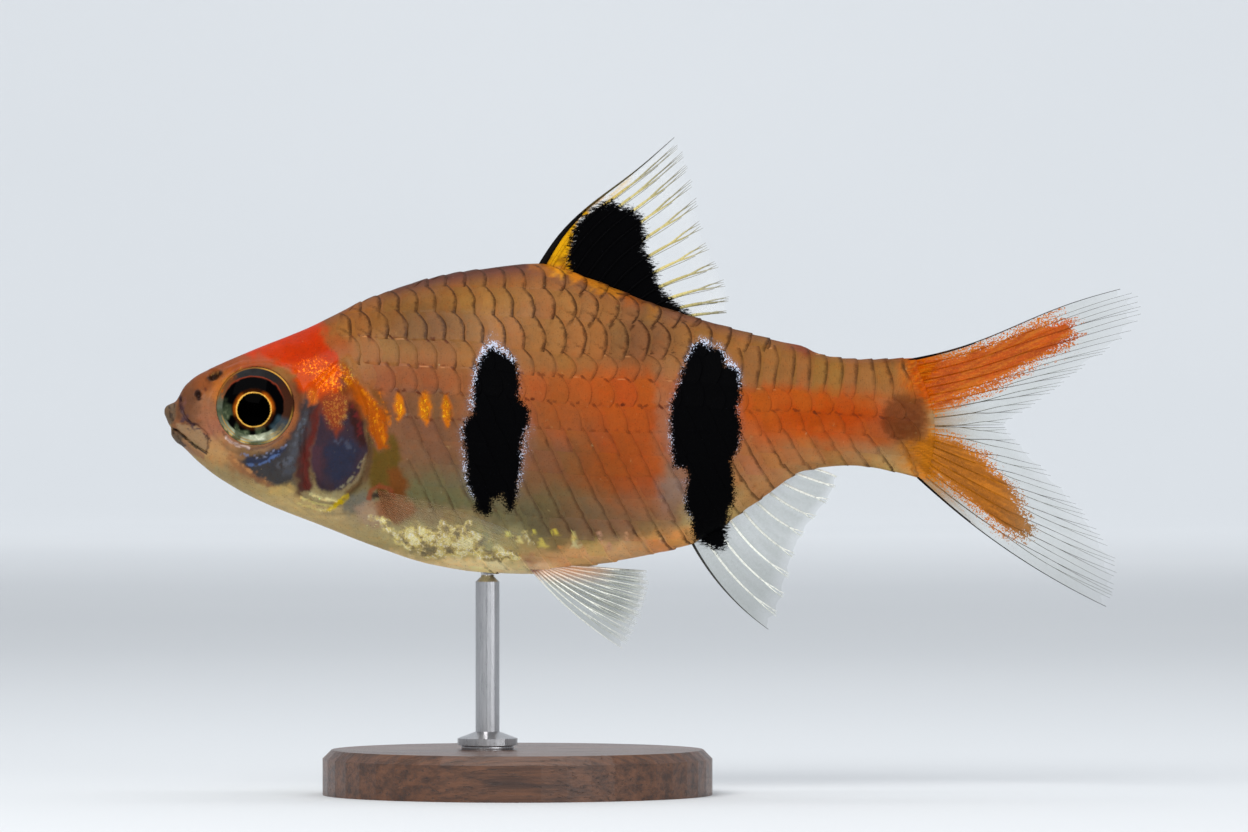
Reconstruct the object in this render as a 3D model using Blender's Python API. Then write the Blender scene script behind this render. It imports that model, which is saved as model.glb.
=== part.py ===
# Melon barb, a small deep-bodied aquarium fish, life size, held in its swimming pose on a display stand.
# The head points to -X, the left flank to -Y and the back to +Z, and the floor is z = 0.
# Lengths are in millimetres from the snout (x) and from the body's axis (z) until a mesh is made.

import math

import bmesh
import bpy
from mathutils import Matrix, Vector

MM = 0.001
GAP = 0.3

# Driving dimensions
TOTAL_LENGTH = 65.0
TAIL_ROOT_X = 50.0
AXIS_HEIGHT = 25.5

# Side outline of the body, snout to tail root: (x, z) along the back and along the belly
BACK = [(0, 0.25), (0.5, 0.58), (1.15, 1.2), (1.75, 2.0), (2.8, 2.7), (5.9, 4.15), (9.3, 5.5), (13.5, 7.5),
        (17.3, 8.8), (21.0, 9.5), (25.0, 9.9), (26.5, 9.5), (33.7, 6.8), (41.0, 4.7), (46.5, 3.5), (50.0, 3.6),
        (53.0, 3.9)]
BELLY = [(0, -0.15), (0.45, -1.15), (0.6, -1.75), (1.3, -2.5), (3.6, -4.4), (6.5, -6.0), (10.5, -7.6),
         (14.1, -9.0), (17.7, -10.15), (21.3, -10.7), (24.5, -10.8), (28.5, -10.2), (35.0, -8.8), (40.0, -5.6),
         (42.8, -3.85), (45.7, -3.57), (50.0, -4.5), (53.0, -5.6)]
# Half width of the body as seen from above
HALF_WIDTH = [(0, 0.4), (0.3, 0.85), (0.9, 1.35), (2.0, 1.95), (4.0, 2.6), (6.2, 3.05), (9.5, 3.55),
              (16.0, 4.1), (22.0, 4.25), (27.0, 4.0), (32.0, 3.35), (37.0, 2.5), (42.0, 1.75), (46.0, 1.3),
              (50.0, 0.95), (53.0, 0.7)]
# Height of the widest place, as a share of the depth up from the belly
WIDEST_SHARE = [(0, 0.5), (8.0, 0.5), (20.0, 0.54), (35.0, 0.52), (53.0, 0.5)]
BACK_POWER = 1.75
BELLY_POWER = 2.2

# Rear edge of the head, down the nape and along the gill opening: (z, x)
HEAD_END = [(-9.0, 10.0), (-7.6, 10.6), (-6.0, 11.9), (-3.5, 13.0), (-1.0, 13.1), (2.5, 12.5), (5.0, 11.8),
            (7.5, 11.4)]
HEAD_SEAM = 0.36
TAIL_START_X = 43.2
TAIL_ROOT_BULGE = 1.2
TAIL_ROOT_HALF_DEPTH = 4.3

# Mouth, eye and nostrils, all in side view
MOUTH_FRONT = (0.45, -1.15)
MOUTH_CORNER = (2.85, -2.75)
MOUTH_SLIT = 0.26
UPPER_LIP = [(0.62, -0.5), (1.1, -1.0), (2.0, -1.75), (2.85, -2.4)]
UPPER_LIP_RADII = (0.62, 0.3)
LOWER_LIP = [(0.86, -1.7), (1.3, -2.05), (2.1, -2.62), (2.8, -3.0)]
LOWER_LIP_RADII = (0.38, 0.2)
LIP_PROUD = 0.2
EYE_CENTRE = (6.12, 0.41)
EYE_RADIUS = 2.55
EYE_DEPTH = 1.6
EYE_PROUD = 0.7
PUPIL_RADIUS = 1.2
LENS_PROUD = 0.1
NOSTRILS = [((3.3, 2.3), 0.42), ((2.35, 1.15), 0.26)]
NOSTRIL_DEPTH = 0.45

# Gill cover outline in side view, and how far its plate stands out and reaches in
GILL_COVER = [(11.6, 2.9), (10.2, 1.6), (9.55, -1.2), (9.3, -4.2), (10.0, -5.9), (11.6, -6.1), (13.0, -4.9),
              (13.75, -2.6), (13.6, 0.2), (12.8, 2.2)]
GILL_COVER_PROUD = 0.16
RIM_DROP = 0.12
GILL_COVER_THICKNESS = 0.75
POCKET_PROUD = 2.0

# Fin thickness at the root, over most of the sheet and at the tips
FIN_ROOT_THICKNESS = 0.8
FIN_THICKNESS = 0.5
FIN_TIP_THICKNESS = 0.26
# A ray's ridge: its height, how far its two branches part, as a share of the ray's own strip, and the
# share of its length that the membrane beside it falls short
RAY_HEIGHT = 0.2
RAY_FADE = 0.4
BRANCH_SPREAD = 0.22
TIP_NOTCH = 0.045
RAY_STEPS = 7

# Fins in side view. Tips run from the leading edge to the last ray; bow bends the first and last rays.
DORSAL = {"root_x": (25.0, 34.3), "rays": 9, "bow": (0.65, 0.1),
          "tips": [(33.9, 18.25), (34.6, 17.2), (35.0, 15.6), (35.5, 13.6), (36.1, 11.4), (36.9, 9.6),
                   (37.6, 7.9), (37.5, 6.6)]}
ANAL = {"root_x": (35.0, 42.6), "rays": 8, "bow": (-0.5, 0.0),
        "tips": [(40.3, -14.55), (41.0, -13.2), (41.5, -11.5), (41.9, -9.8), (42.7, -8.0), (43.7, -6.6),
                 (44.6, -5.2), (44.8, -4.3)]}
UPPER_LOBE = {"rays": 9, "bow": (-0.3, 0.0),
              "tips": [(63.9, 8.25), (64.9, 7.6), (65.0, 6.6), (64.2, 5.2), (62.4, 3.8), (60.4, 2.3),
                       (58.4, 0.8), (55.6, -0.68)]}
LOWER_LOBE = {"rays": 9, "bow": (-0.4, 0.0),
              "tips": [(62.9, -13.05), (63.5, -12.0), (63.4, -10.4), (62.6, -8.6), (61.2, -6.5), (59.4, -4.6),
                       (57.4, -2.9), (55.6, -1.22)]}
TAIL_FORK_Z = -0.95
PELVIC = {"root": [(24.3, -10.35), (25.9, -10.2)], "rays": 7, "bow": (-0.35, 0.0),
          "tips": [(30.6, -15.75), (31.3, -14.6), (31.8, -13.2), (32.0, -11.9), (31.9, -10.6)]}
PELVIC_LEAN = 0.35
PELVIC_LIFT = 1.6
PECTORAL = {"root": [(14.25, -5.2), (14.6, -6.6)], "rays": 8, "bow": (0.3, -0.3),
            "tips": [(24.1, -8.3), (23.6, -9.1), (22.2, -9.4), (20.3, -9.3), (18.2, -8.7)]}
PECTORAL_LEAN = 0.09

# Display stand
BASE_CENTRE_X = 23.5
BASE_RADIUS = 13.0
BASE_HEIGHT = 3.0
BASE_BEVEL = 0.6
ROD_X = 21.5
ROD_RADIUS = 0.8
ROD_FOOT_RADIUS = 2.0
ROD_FOOT_HEIGHT = 0.9
ROD_TIP_BEVEL = 0.3

# Colour, roughness and metallic value of each finish
SKIN = ((0.62, 0.24, 0.08), 0.35, 0.0)
GILL_PLATE = ((0.30, 0.16, 0.20), 0.25, 0.0)
EYE_GLOSS = ((0.02, 0.02, 0.02), 0.08, 0.0)
FIN_SHEET = ((0.80, 0.42, 0.16), 0.35, 0.0)
WOOD = ((0.16, 0.08, 0.04), 0.45, 0.0)
STEEL = ((0.62, 0.62, 0.64), 0.3, 1.0)

SHARP_ANGLE = math.radians(40)
SIDES = ((-1, "left"), (1, "right"))


def smooth_curve(points):
    """A function through the points, with no overshoot between them."""
    xs = [p[0] for p in points]
    ys = [p[1] for p in points]
    steps = [b - a for a, b in zip(xs, xs[1:])]
    rises = [(b - a) / h for a, b, h in zip(ys, ys[1:], steps)]
    slopes = [rises[0]]
    for before, after, h0, h1 in zip(rises, rises[1:], steps, steps[1:]):
        if before * after <= 0:
            slopes.append(0.0)
        else:
            w0, w1 = 2 * h1 + h0, h1 + 2 * h0
            slopes.append((w0 + w1) / (w0 / before + w1 / after))
    slopes.append(rises[-1])

    def value(x):
        x = min(max(x, xs[0]), xs[-1])
        i = max(k for k in range(len(steps)) if x >= xs[k] or k == 0)
        h = steps[i]
        t = (x - xs[i]) / h
        return ((1 + 2 * t) * (1 - t) ** 2 * ys[i] + t * (1 - t) ** 2 * h * slopes[i]
                + t * t * (3 - 2 * t) * ys[i + 1] + t * t * (t - 1) * h * slopes[i + 1])

    return value


back = smooth_curve(BACK)
belly = smooth_curve(BELLY)
half_width = smooth_curve(HALF_WIDTH)
widest_share = smooth_curve(WIDEST_SHARE)
head_end = smooth_curve(HEAD_END)


def widest_height(x):
    return belly(x) + widest_share(x) * (back(x) - belly(x))


def skin_point(x, angle):
    """Half width and height of the skin at length x: angle 0 is the back's ridge and pi the belly's."""
    wide, side = widest_height(x), math.cos(angle)
    reach, power = (back(x) - wide, BACK_POWER) if side >= 0 else (wide - belly(x), BELLY_POWER)
    return half_width(x) * math.sin(angle), wide + math.copysign(abs(side) ** (2 / power), side) * reach


def flank(x, z):
    """Half width of the skin at length x and height z, and 0 outside the outline."""
    wide = widest_height(x)
    reach, power = (back(x) - wide, BACK_POWER) if z >= wide else (wide - belly(x), BELLY_POWER)
    share = min(1.0, abs(z - wide) / reach)
    return half_width(x) * math.sqrt(1 - share ** power)


def placed(x, y, z):
    """A point of the fish in the part's own frame, in metres."""
    return Vector(((x - TOTAL_LENGTH / 2) * MM, y * MM, (z + AXIS_HEIGHT) * MM))


def material(name, colour, roughness, metallic):
    made = bpy.data.materials.new(name)
    made.use_nodes = True
    shader = made.node_tree.nodes["Principled BSDF"]
    shader.inputs["Base Color"].default_value = (*colour, 1.0)
    shader.inputs["Roughness"].default_value = roughness
    shader.inputs["Metallic"].default_value = metallic
    return made


def new_object(name, vertices, faces, finish=None):
    """A closed mesh whose faces point out, from placed vertices. A piece used in a Boolean has no finish."""
    mesh = bpy.data.meshes.new(name)
    shape = bmesh.new()
    corners = [shape.verts.new(v) for v in vertices]
    for face in faces:
        shape.faces.new([corners[i] for i in face])
    bmesh.ops.recalc_face_normals(shape, faces=shape.faces)
    shape.to_mesh(mesh)
    shape.free()
    mesh.shade_smooth()
    mesh.set_sharp_from_angle(angle=SHARP_ANGLE)
    if finish:
        mesh.materials.append(material(name, *finish))
    made = bpy.data.objects.new(name, mesh)
    bpy.context.scene.collection.objects.link(made)
    return made


def combine(target, pieces, operation):
    """Joins the pieces to the target, or cuts them from it, and keeps the largest closed surface."""
    group = bpy.data.collections.new(target.name + "_pieces")
    bpy.context.scene.collection.children.link(group)
    for piece in pieces:
        bpy.context.scene.collection.objects.unlink(piece)
        group.objects.link(piece)
    change = target.modifiers.new("change", "BOOLEAN")
    change.operation = operation
    change.operand_type = "COLLECTION"
    change.collection = group
    change.solver = "EXACT"
    bpy.context.view_layer.update()
    mesh = bpy.data.meshes.new_from_object(target.evaluated_get(bpy.context.evaluated_depsgraph_get()))
    target.modifiers.clear()
    target.data = mesh
    for piece in pieces:
        bpy.data.objects.remove(piece)
    bpy.data.collections.remove(group)
    keep_largest(mesh)


def keep_largest(mesh):
    shape = bmesh.new()
    shape.from_mesh(mesh)
    left = set(shape.faces)
    surfaces = []
    while left:
        found, edge = set(), [left.pop()]
        while edge:
            face = edge.pop()
            found.add(face)
            for near in (f for e in face.edges for f in e.link_faces if f in left):
                left.remove(near)
                edge.append(near)
        surfaces.append(found)
    largest = max(surfaces, key=lambda found: sum(f.calc_area() for f in found))
    loose = [f for found in surfaces if found is not largest for f in found]
    bmesh.ops.delete(shape, geom=loose, context="FACES")
    shape.to_mesh(mesh)
    shape.free()
    mesh.shade_smooth()
    mesh.set_sharp_from_angle(angle=SHARP_ANGLE)


def loft(name, finish, front, rear, rows, columns, crowding=1.0):
    """A length of the body. front and rear give the x of its ends at a height, and rows crowd to the front."""
    vertices, faces = [], []
    ring = [(j, -1) for j in range(columns + 1)] + [(j, 1) for j in range(columns - 1, 0, -1)]
    for i in range(rows + 1):
        share = (i / rows) ** crowding
        for j, side in ring:
            angle, x = math.pi * j / columns, 0.5 * (front(0) + rear(0))
            for _ in range(12):
                z = skin_point(x, angle)[1]
                x = 0.5 * (x + front(z) + (rear(z) - front(z)) * share)
            y, z = skin_point(x, angle)
            vertices.append(placed(x, side * y, z))
    around = len(ring)
    for i in range(rows):
        for j in range(around):
            a, b = i * around + j, i * around + (j + 1) % around
            faces.append((a, b, b + around, a + around))
    for start in (0, rows * around):
        right = [start] + [start + around - j for j in range(1, columns)] + [start + columns]
        for j in range(columns):
            rung = [start + j, start + j + 1, right[j + 1], right[j]]
            faces.append(list(dict.fromkeys(rung)))
    return new_object(name, vertices, faces, finish)


def tube(name, path, radii, sides):
    """A closed tube of changing radius along a path of placed points."""
    vertices, faces = [], []
    for i, (centre, radius) in enumerate(zip(path, radii)):
        along = (path[min(i + 1, len(path) - 1)] - path[max(i - 1, 0)]).normalized()
        across = along.cross(Vector((0, 0, 1))).normalized()
        up = across.cross(along)
        for k in range(sides):
            turn = 2 * math.pi * k / sides
            vertices.append(centre + (across * math.cos(turn) + up * math.sin(turn)) * radius * MM)
    for i in range(len(path) - 1):
        for k in range(sides):
            a, b = i * sides + k, i * sides + (k + 1) % sides
            faces.append((a, b, b + sides, a + sides))
    faces.append(list(range(sides)))
    faces.append([(len(path) - 1) * sides + k for k in range(sides)])
    return new_object(name, vertices, faces)


def turned(name, profile, sides, frame, finish=None):
    """A shape turned about its own z axis from (radius, height) pairs in mm, then set in its frame."""
    vertices, faces, rings = [], [], []
    for radius, height in profile:
        count = sides if radius > 0 else 1
        rings.append((len(vertices), count))
        for k in range(count):
            turn = 2 * math.pi * k / sides
            vertices.append(frame @ Vector((radius * math.cos(turn), radius * math.sin(turn), height)))
    for (a, many_a), (b, many_b) in zip(rings, rings[1:]):
        for k in range(sides):
            nxt = (k + 1) % sides
            face = [a + k % many_a, a + nxt % many_a, b + nxt % many_b, b + k % many_b]
            faces.append(list(dict.fromkeys(face)))
    for start, count in (rings[0], rings[-1]):
        if count > 1:
            faces.append([start + k for k in range(count)])
    return new_object(name, vertices, faces, finish)


def side_frame(x, y, z, side):
    """A frame on one flank whose z axis points out of the body, in metres for a profile in mm."""
    turn = Matrix.Rotation(side * -math.pi / 2, 4, "X")
    return Matrix.Translation(placed(x, side * y, z)) @ turn @ Matrix.Scale(MM, 4)


def ball_profile(radius, depth, steps):
    turns = [math.pi * k / steps for k in range(steps + 1)]
    return [(radius * math.sin(t) if 0 < k < steps else 0.0, depth * math.cos(t)) for k, t in enumerate(turns)]


def eye_profile():
    """Front to back: the lens in the pupil, the iris and its rim, then the ball in the socket."""
    front = [(0.0, EYE_DEPTH + LENS_PROUD), (0.7 * PUPIL_RADIUS, EYE_DEPTH + 0.3 * LENS_PROUD),
             (PUPIL_RADIUS, EYE_DEPTH - LENS_PROUD), (1.08 * PUPIL_RADIUS, EYE_DEPTH - 2 * LENS_PROUD),
             (0.75 * EYE_RADIUS, 0.66 * EYE_DEPTH)]
    turns = [math.pi * (0.36 + 0.64 * k / 6) for k in range(6)]
    return front + [(EYE_RADIUS * math.sin(t), EYE_DEPTH * math.cos(t)) for t in turns] + [(0.0, -EYE_DEPTH)]


def eye_frame(side):
    x, z = EYE_CENTRE
    return side_frame(x, flank(x, z) - EYE_DEPTH + EYE_PROUD, z, side)


def eye_socket(side):
    return turned("socket", ball_profile(EYE_RADIUS + GAP, EYE_DEPTH + GAP, 12), 24, eye_frame(side))


def nostril(place, radius, side):
    x, z = place
    return turned("nostril", ball_profile(radius, NOSTRIL_DEPTH, 6), 8, side_frame(x, flank(x, z), z, side))


def closed_outline(points, count):
    """Points evenly spread on a smooth closed curve through the given ones."""
    made, many = [], len(points)
    for k in range(count):
        place = k * many / count
        i, t = int(place), place % 1
        p = [points[(i + d) % many] for d in (-1, 0, 1, 2)]
        made.append(tuple(0.5 * (2 * p[1][a] + t * (p[2][a] - p[0][a])
                                 + t * t * (2 * p[0][a] - 5 * p[1][a] + 4 * p[2][a] - p[3][a])
                                 + t ** 3 * (3 * p[1][a] - p[0][a] - 3 * p[2][a] + p[3][a])) for a in (0, 1)))
    return made


def flank_plate(name, side, proud, reach_in, grow, finish=None):
    """A plate that follows the flank inside the gill cover's outline; one that isn't grown is rounded over."""
    around, rings = 30, 4
    outline = closed_outline(GILL_COVER, around)
    middle_x = sum(p[0] for p in outline) / around
    middle_z = sum(p[1] for p in outline) / around
    vertices, faces, layers = [], [], []
    for outside in (True, False):
        layers.append(len(vertices))
        vertices.append(plate_point(middle_x, middle_z, side, proud if outside else -reach_in))
        for i in range(1, rings + 1):
            share = i / rings
            for x, z in outline:
                dx, dz = x - middle_x, z - middle_z
                size = share * (1 + grow / math.hypot(dx, dz))
                top = proud if grow else proud - (proud + RIM_DROP) * share ** 8
                out = top if outside else -reach_in
                vertices.append(plate_point(middle_x + dx * size, middle_z + dz * size, side, out))
    for start in layers:
        for k in range(around):
            nxt = (k + 1) % around
            faces.append((start, start + 1 + k, start + 1 + nxt))
            for i in range(rings - 1):
                a, b = start + 1 + i * around + k, start + 1 + i * around + nxt
                faces.append((a, b, b + around, a + around))
    rim = [start + 1 + (rings - 1) * around for start in layers]
    for k in range(around):
        nxt = (k + 1) % around
        faces.append((rim[0] + k, rim[0] + nxt, rim[1] + nxt, rim[1] + k))
    return new_object(name, vertices, faces, finish)


def plate_point(x, z, side, out):
    return placed(x, side * (flank(x, z) + out), z)


def lip(name, points, radii):
    """A lip from one corner of the mouth round the front to the other: radii are at the front and the corner."""
    side_view, steps = along_points(points), 8
    path, sizes = [], []
    for k in range(-steps, steps + 1):
        share = abs(k) / steps
        place, radius = side_view(share ** 1.5), radii[0] + (radii[1] - radii[0]) * share
        width = flank(*place) + LIP_PROUD * (1 - share ** 3) - radius
        width *= math.sin(math.pi / 2 * min(1.0, 2 * share))
        path.append(placed(place.x, math.copysign(width, k), place.y))
        sizes.append(radius)
    return tube(name, path, sizes, 10)


def mouth_slit():
    """The thin wedge of space between the lips, right through the snout and back to the corners."""
    front, corner = Vector(MOUTH_FRONT), Vector(MOUTH_CORNER)
    along = (corner - front).normalized()
    across = Vector((-along.y, along.x)) * MOUTH_SLIT / 2
    start = front - along * 2
    corners = [start + across, corner + across * 0.4, corner - across * 0.4, start - across]
    reach = max(width for _, width in HALF_WIDTH)
    vertices = [placed(p.x, y, p.y) for y in (-reach, reach) for p in corners]
    faces = [(0, 1, 2, 3), (4, 5, 6, 7), (0, 1, 5, 4), (1, 2, 6, 5), (2, 3, 7, 6), (3, 0, 4, 7)]
    return new_object("slit", vertices, faces)


def gill_pocket(side):
    return flank_plate("pocket", side, POCKET_PROUD, GILL_COVER_THICKNESS + GAP, GAP)


def make_head():
    head = loft("head", SKIN, lambda z: 0.0, head_end, 24, 20, crowding=1.5)
    lips = [lip("upper_lip", UPPER_LIP, UPPER_LIP_RADII), lip("lower_lip", LOWER_LIP, LOWER_LIP_RADII)]
    combine(head, lips, "UNION")
    cutters = [mouth_slit()]
    for side, _ in SIDES:
        cutters += [gill_pocket(side), eye_socket(side)]
        cutters += [nostril(place, radius, side) for place, radius in NOSTRILS]
    combine(head, cutters, "DIFFERENCE")


def make_body():
    trunk = loft("trunk", SKIN, lambda z: head_end(z) + HEAD_SEAM, lambda z: TAIL_START_X - GAP, 22, 18)
    combine(trunk, [gill_pocket(side) for side, _ in SIDES], "DIFFERENCE")
    loft("tail_stalk", SKIN, lambda z: TAIL_START_X, tail_root_x, 7, 16)


def make_gill_covers_and_eyes():
    for side, word in SIDES:
        flank_plate("gill_cover_" + word, side, GILL_COVER_PROUD, GILL_COVER_THICKNESS, 0.0, GILL_PLATE)
        turned("eye_" + word, eye_profile(), 24, eye_frame(side), EYE_GLOSS)


def tail_root_x(z):
    """The rounded rear end of the tail stalk, from which the tail fin's rays spring."""
    share = min(1.0, abs(z - TAIL_FORK_Z + 0.4) / TAIL_ROOT_HALF_DEPTH)
    return TAIL_ROOT_X + TAIL_ROOT_BULGE * (1 - share ** 2)


def along_points(points):
    """A smooth curve from the first to the last point, as a function of a share from 0 to 1."""
    many = len(points) - 1
    curves = [smooth_curve([(i, p[axis]) for i, p in enumerate(points)]) for axis in (0, 1)]
    return lambda share: Vector((curves[0](share * many), curves[1](share * many)))


def ray_columns(rays):
    """Each column's place across the fin, its ridge's height at the root and at the tip, and its reach.

    A ray is one ridge at its root and parts into two branches towards its tip.
    """
    made = []
    for k in range(rays):
        edge = 1.0 if k == 0 else 0.0
        made.append((k / rays, edge, edge, 1.0 - TIP_NOTCH * (1 - edge)))
        made.append(((k + 0.5 - BRANCH_SPREAD) / rays, 0.0, 1.0, 1.0))
        made.append(((k + 0.5) / rays, 1.0, 0.2, 1.0 - TIP_NOTCH / 2))
        made.append(((k + 0.5 + BRANCH_SPREAD) / rays, 0.0, 1.0, 1.0))
    return made + [(1.0, 0.5, 0.5, 1.0)]


def fin(name, shape, root, tips, sheet_y):
    """A fin between its root and tip curves in side view; sheet_y(x, z) is the y of its middle sheet."""
    columns = ray_columns(shape["rays"])
    first_bow, last_bow = shape["bow"]
    vertices = {}
    for face_side in (-1, 1):
        for i, (across, ridge_root, ridge_tip, reach) in enumerate(columns):
            start, end = root(across), tips(across)
            outward = Vector((-(end - start).y, (end - start).x)).normalized()
            bow = first_bow + (last_bow - first_bow) * across
            for k in range(RAY_STEPS + 1):
                share = k / RAY_STEPS * reach
                place = start.lerp(end, share) + outward * bow * 4 * share * (1 - share)
                ridge = RAY_HEIGHT * (1 - RAY_FADE * share) * (ridge_root + (ridge_tip - ridge_root) * share)
                y = sheet_y(place.x, place.y) + face_side * (sheet_thickness(share) / 2 + ridge)
                vertices[face_side, i, k] = placed(place.x, y, place.y)
    index = {key: n for n, key in enumerate(vertices)}
    faces = []
    for i in range(len(columns) - 1):
        for k in range(RAY_STEPS):
            for face_side in (-1, 1):
                a, b = index[face_side, i, k], index[face_side, i + 1, k]
                c, d = index[face_side, i + 1, k + 1], index[face_side, i, k + 1]
                faces += [(a, b, c), (a, c, d)]
    last = len(columns) - 1
    rim = [(i, 0) for i in range(last)] + [(last, k) for k in range(RAY_STEPS)]
    rim += [(i, RAY_STEPS) for i in range(last, 0, -1)] + [(0, k) for k in range(RAY_STEPS, 0, -1)]
    for here, there in zip(rim, rim[1:] + rim[:1]):
        faces.append((index[-1, *here], index[-1, *there], index[1, *there], index[1, *here]))
    return new_object(name, list(vertices.values()), faces, FIN_SHEET)


def sheet_thickness(share):
    """Thick at the root, even over the sheet and thin at the tips."""
    if share < 0.25:
        return FIN_THICKNESS + (FIN_ROOT_THICKNESS - FIN_THICKNESS) * (1 - share / 0.25)
    return FIN_THICKNESS + (FIN_TIP_THICKNESS - FIN_THICKNESS) * max(0.0, (share - 0.7) / 0.3)


def edge_root(outline, ends, offset):
    """A fin's root along the back or the belly, a gap away from the skin."""
    return lambda share: Vector((ends[0] + (ends[1] - ends[0]) * share,
                                 outline(ends[0] + (ends[1] - ends[0]) * share) + offset))


def tail_root(top, bottom):
    """A lobe's root on the rounded end of the tail stalk, between two heights."""
    def place(share):
        z = top + (bottom - top) * share
        return Vector((tail_root_x(z) + GAP, z))
    return place


def middle_fin(name, shape, root):
    """A fin that stands in the fish's middle plane."""
    fin(name, shape, root, along_points(shape["tips"]), lambda x, z: 0.0)


def pelvic_fin(name, side, lift):
    """A pelvic fin that leans out from the belly, with its leading tips raised by lift."""
    (x0, z0), (x1, z1) = PELVIC["root"]
    last = len(PELVIC["tips"]) - 1
    tips = [(x + 0.15 * lift, z + lift * (1 - i / last)) for i, (x, z) in enumerate(PELVIC["tips"])]
    root_y = flank(x0, z0) + 0.3 * GAP
    root = along_points([(x0, z0 - GAP), (x1, z1 - GAP)])
    fin(name, PELVIC, root, along_points(tips), lambda x, z: side * (root_y + PELVIC_LEAN * (z0 - z)))


def pectoral_fin(name, side):
    """A pectoral fin that lies along the flank and opens a little towards its tip."""
    root_x = PECTORAL["root"][0][0]
    root_y = FIN_ROOT_THICKNESS / 2 + GAP
    fin(name, PECTORAL, along_points(PECTORAL["root"]), along_points(PECTORAL["tips"]),
        lambda x, z: side * (flank(x, z) + root_y + PECTORAL_LEAN * (x - root_x)))


def make_fins():
    middle_fin("dorsal_fin", DORSAL, edge_root(back, DORSAL["root_x"], GAP))
    middle_fin("anal_fin", ANAL, edge_root(belly, ANAL["root_x"], -GAP))
    fork = GAP / 2
    middle_fin("tail_fin_upper", UPPER_LOBE, tail_root(back(TAIL_ROOT_X), TAIL_FORK_Z + fork))
    middle_fin("tail_fin_lower", LOWER_LOBE, tail_root(belly(TAIL_ROOT_X) + fork, TAIL_FORK_Z - fork))
    for side, word in SIDES:
        pelvic_fin("pelvic_fin_" + word, side, 0.0 if word == "left" else PELVIC_LIFT)
        pectoral_fin("pectoral_fin_" + word, side)


def make_stand():
    frame = Matrix.Translation(placed(BASE_CENTRE_X, 0, -AXIS_HEIGHT)) @ Matrix.Scale(MM, 4)
    profile = [(BASE_RADIUS, 0.0), (BASE_RADIUS, BASE_HEIGHT - BASE_BEVEL),
               (BASE_RADIUS - BASE_BEVEL, BASE_HEIGHT)]
    turned("stand_base", profile, 48, frame, WOOD)
    foot = BASE_HEIGHT + GAP - AXIS_HEIGHT
    reach = belly(ROD_X) - GAP - foot
    frame = Matrix.Translation(placed(ROD_X, 0, foot)) @ Matrix.Scale(MM, 4)
    profile = [(ROD_FOOT_RADIUS, 0.0), (ROD_FOOT_RADIUS, 0.5 * ROD_FOOT_HEIGHT), (ROD_RADIUS, ROD_FOOT_HEIGHT),
               (ROD_RADIUS, reach - ROD_TIP_BEVEL), (ROD_RADIUS - ROD_TIP_BEVEL, reach)]
    turned("stand_rod", profile, 20, frame, STEEL)


def build():
    for old in list(bpy.data.objects):
        bpy.data.objects.remove(old)
    make_head()
    make_body()
    make_gill_covers_and_eyes()
    make_fins()
    make_stand()


build()
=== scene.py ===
import math
import random

import bpy
import numpy as np
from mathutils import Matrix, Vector


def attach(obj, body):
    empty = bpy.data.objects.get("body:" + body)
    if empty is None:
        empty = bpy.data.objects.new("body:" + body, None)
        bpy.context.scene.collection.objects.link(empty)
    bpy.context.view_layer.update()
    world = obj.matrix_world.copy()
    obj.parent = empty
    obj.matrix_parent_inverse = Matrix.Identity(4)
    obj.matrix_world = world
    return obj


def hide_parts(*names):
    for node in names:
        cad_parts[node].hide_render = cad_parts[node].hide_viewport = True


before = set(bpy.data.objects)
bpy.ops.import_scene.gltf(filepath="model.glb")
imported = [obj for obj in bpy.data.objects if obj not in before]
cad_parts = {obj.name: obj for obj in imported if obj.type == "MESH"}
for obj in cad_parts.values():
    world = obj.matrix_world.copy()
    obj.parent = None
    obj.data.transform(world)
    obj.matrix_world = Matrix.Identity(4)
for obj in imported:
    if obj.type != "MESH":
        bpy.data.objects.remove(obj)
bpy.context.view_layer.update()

# Lengths are millimetres in the side view: x from the snout, y across (left is -y), z above the body axis.
picture = {"pixelsPerMm": 15.0, "snoutPx": 165.0, "axisPy": 412.0}
placing = {"middleX": 32.5, "axisHeight": 25.5}


def fromPicture(px, py):
    return ((px - picture["snoutPx"]) / picture["pixelsPerMm"],
            (picture["axisPy"] - py) / picture["pixelsPerMm"])


def toPicture(x, z):
    return (picture["snoutPx"] + picture["pixelsPerMm"] * x,
            picture["axisPy"] - picture["pixelsPerMm"] * z)


def toMetres(points):
    points = np.asarray(points, float)
    shift = np.array([-placing["middleX"], 0.0, placing["axisHeight"]])
    return (points + shift) * 0.001


def srgb(r, g, b):
    return np.array([(v / 255 / 12.92) if v <= 10 else ((v / 255 + 0.055) / 1.055) ** 2.4 for v in (r, g, b)])


def smoothStep(low, high, value):
    t = np.clip((value - low) / (high - low), 0.0, 1.0)
    return t * t * (3 - 2 * t)


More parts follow.
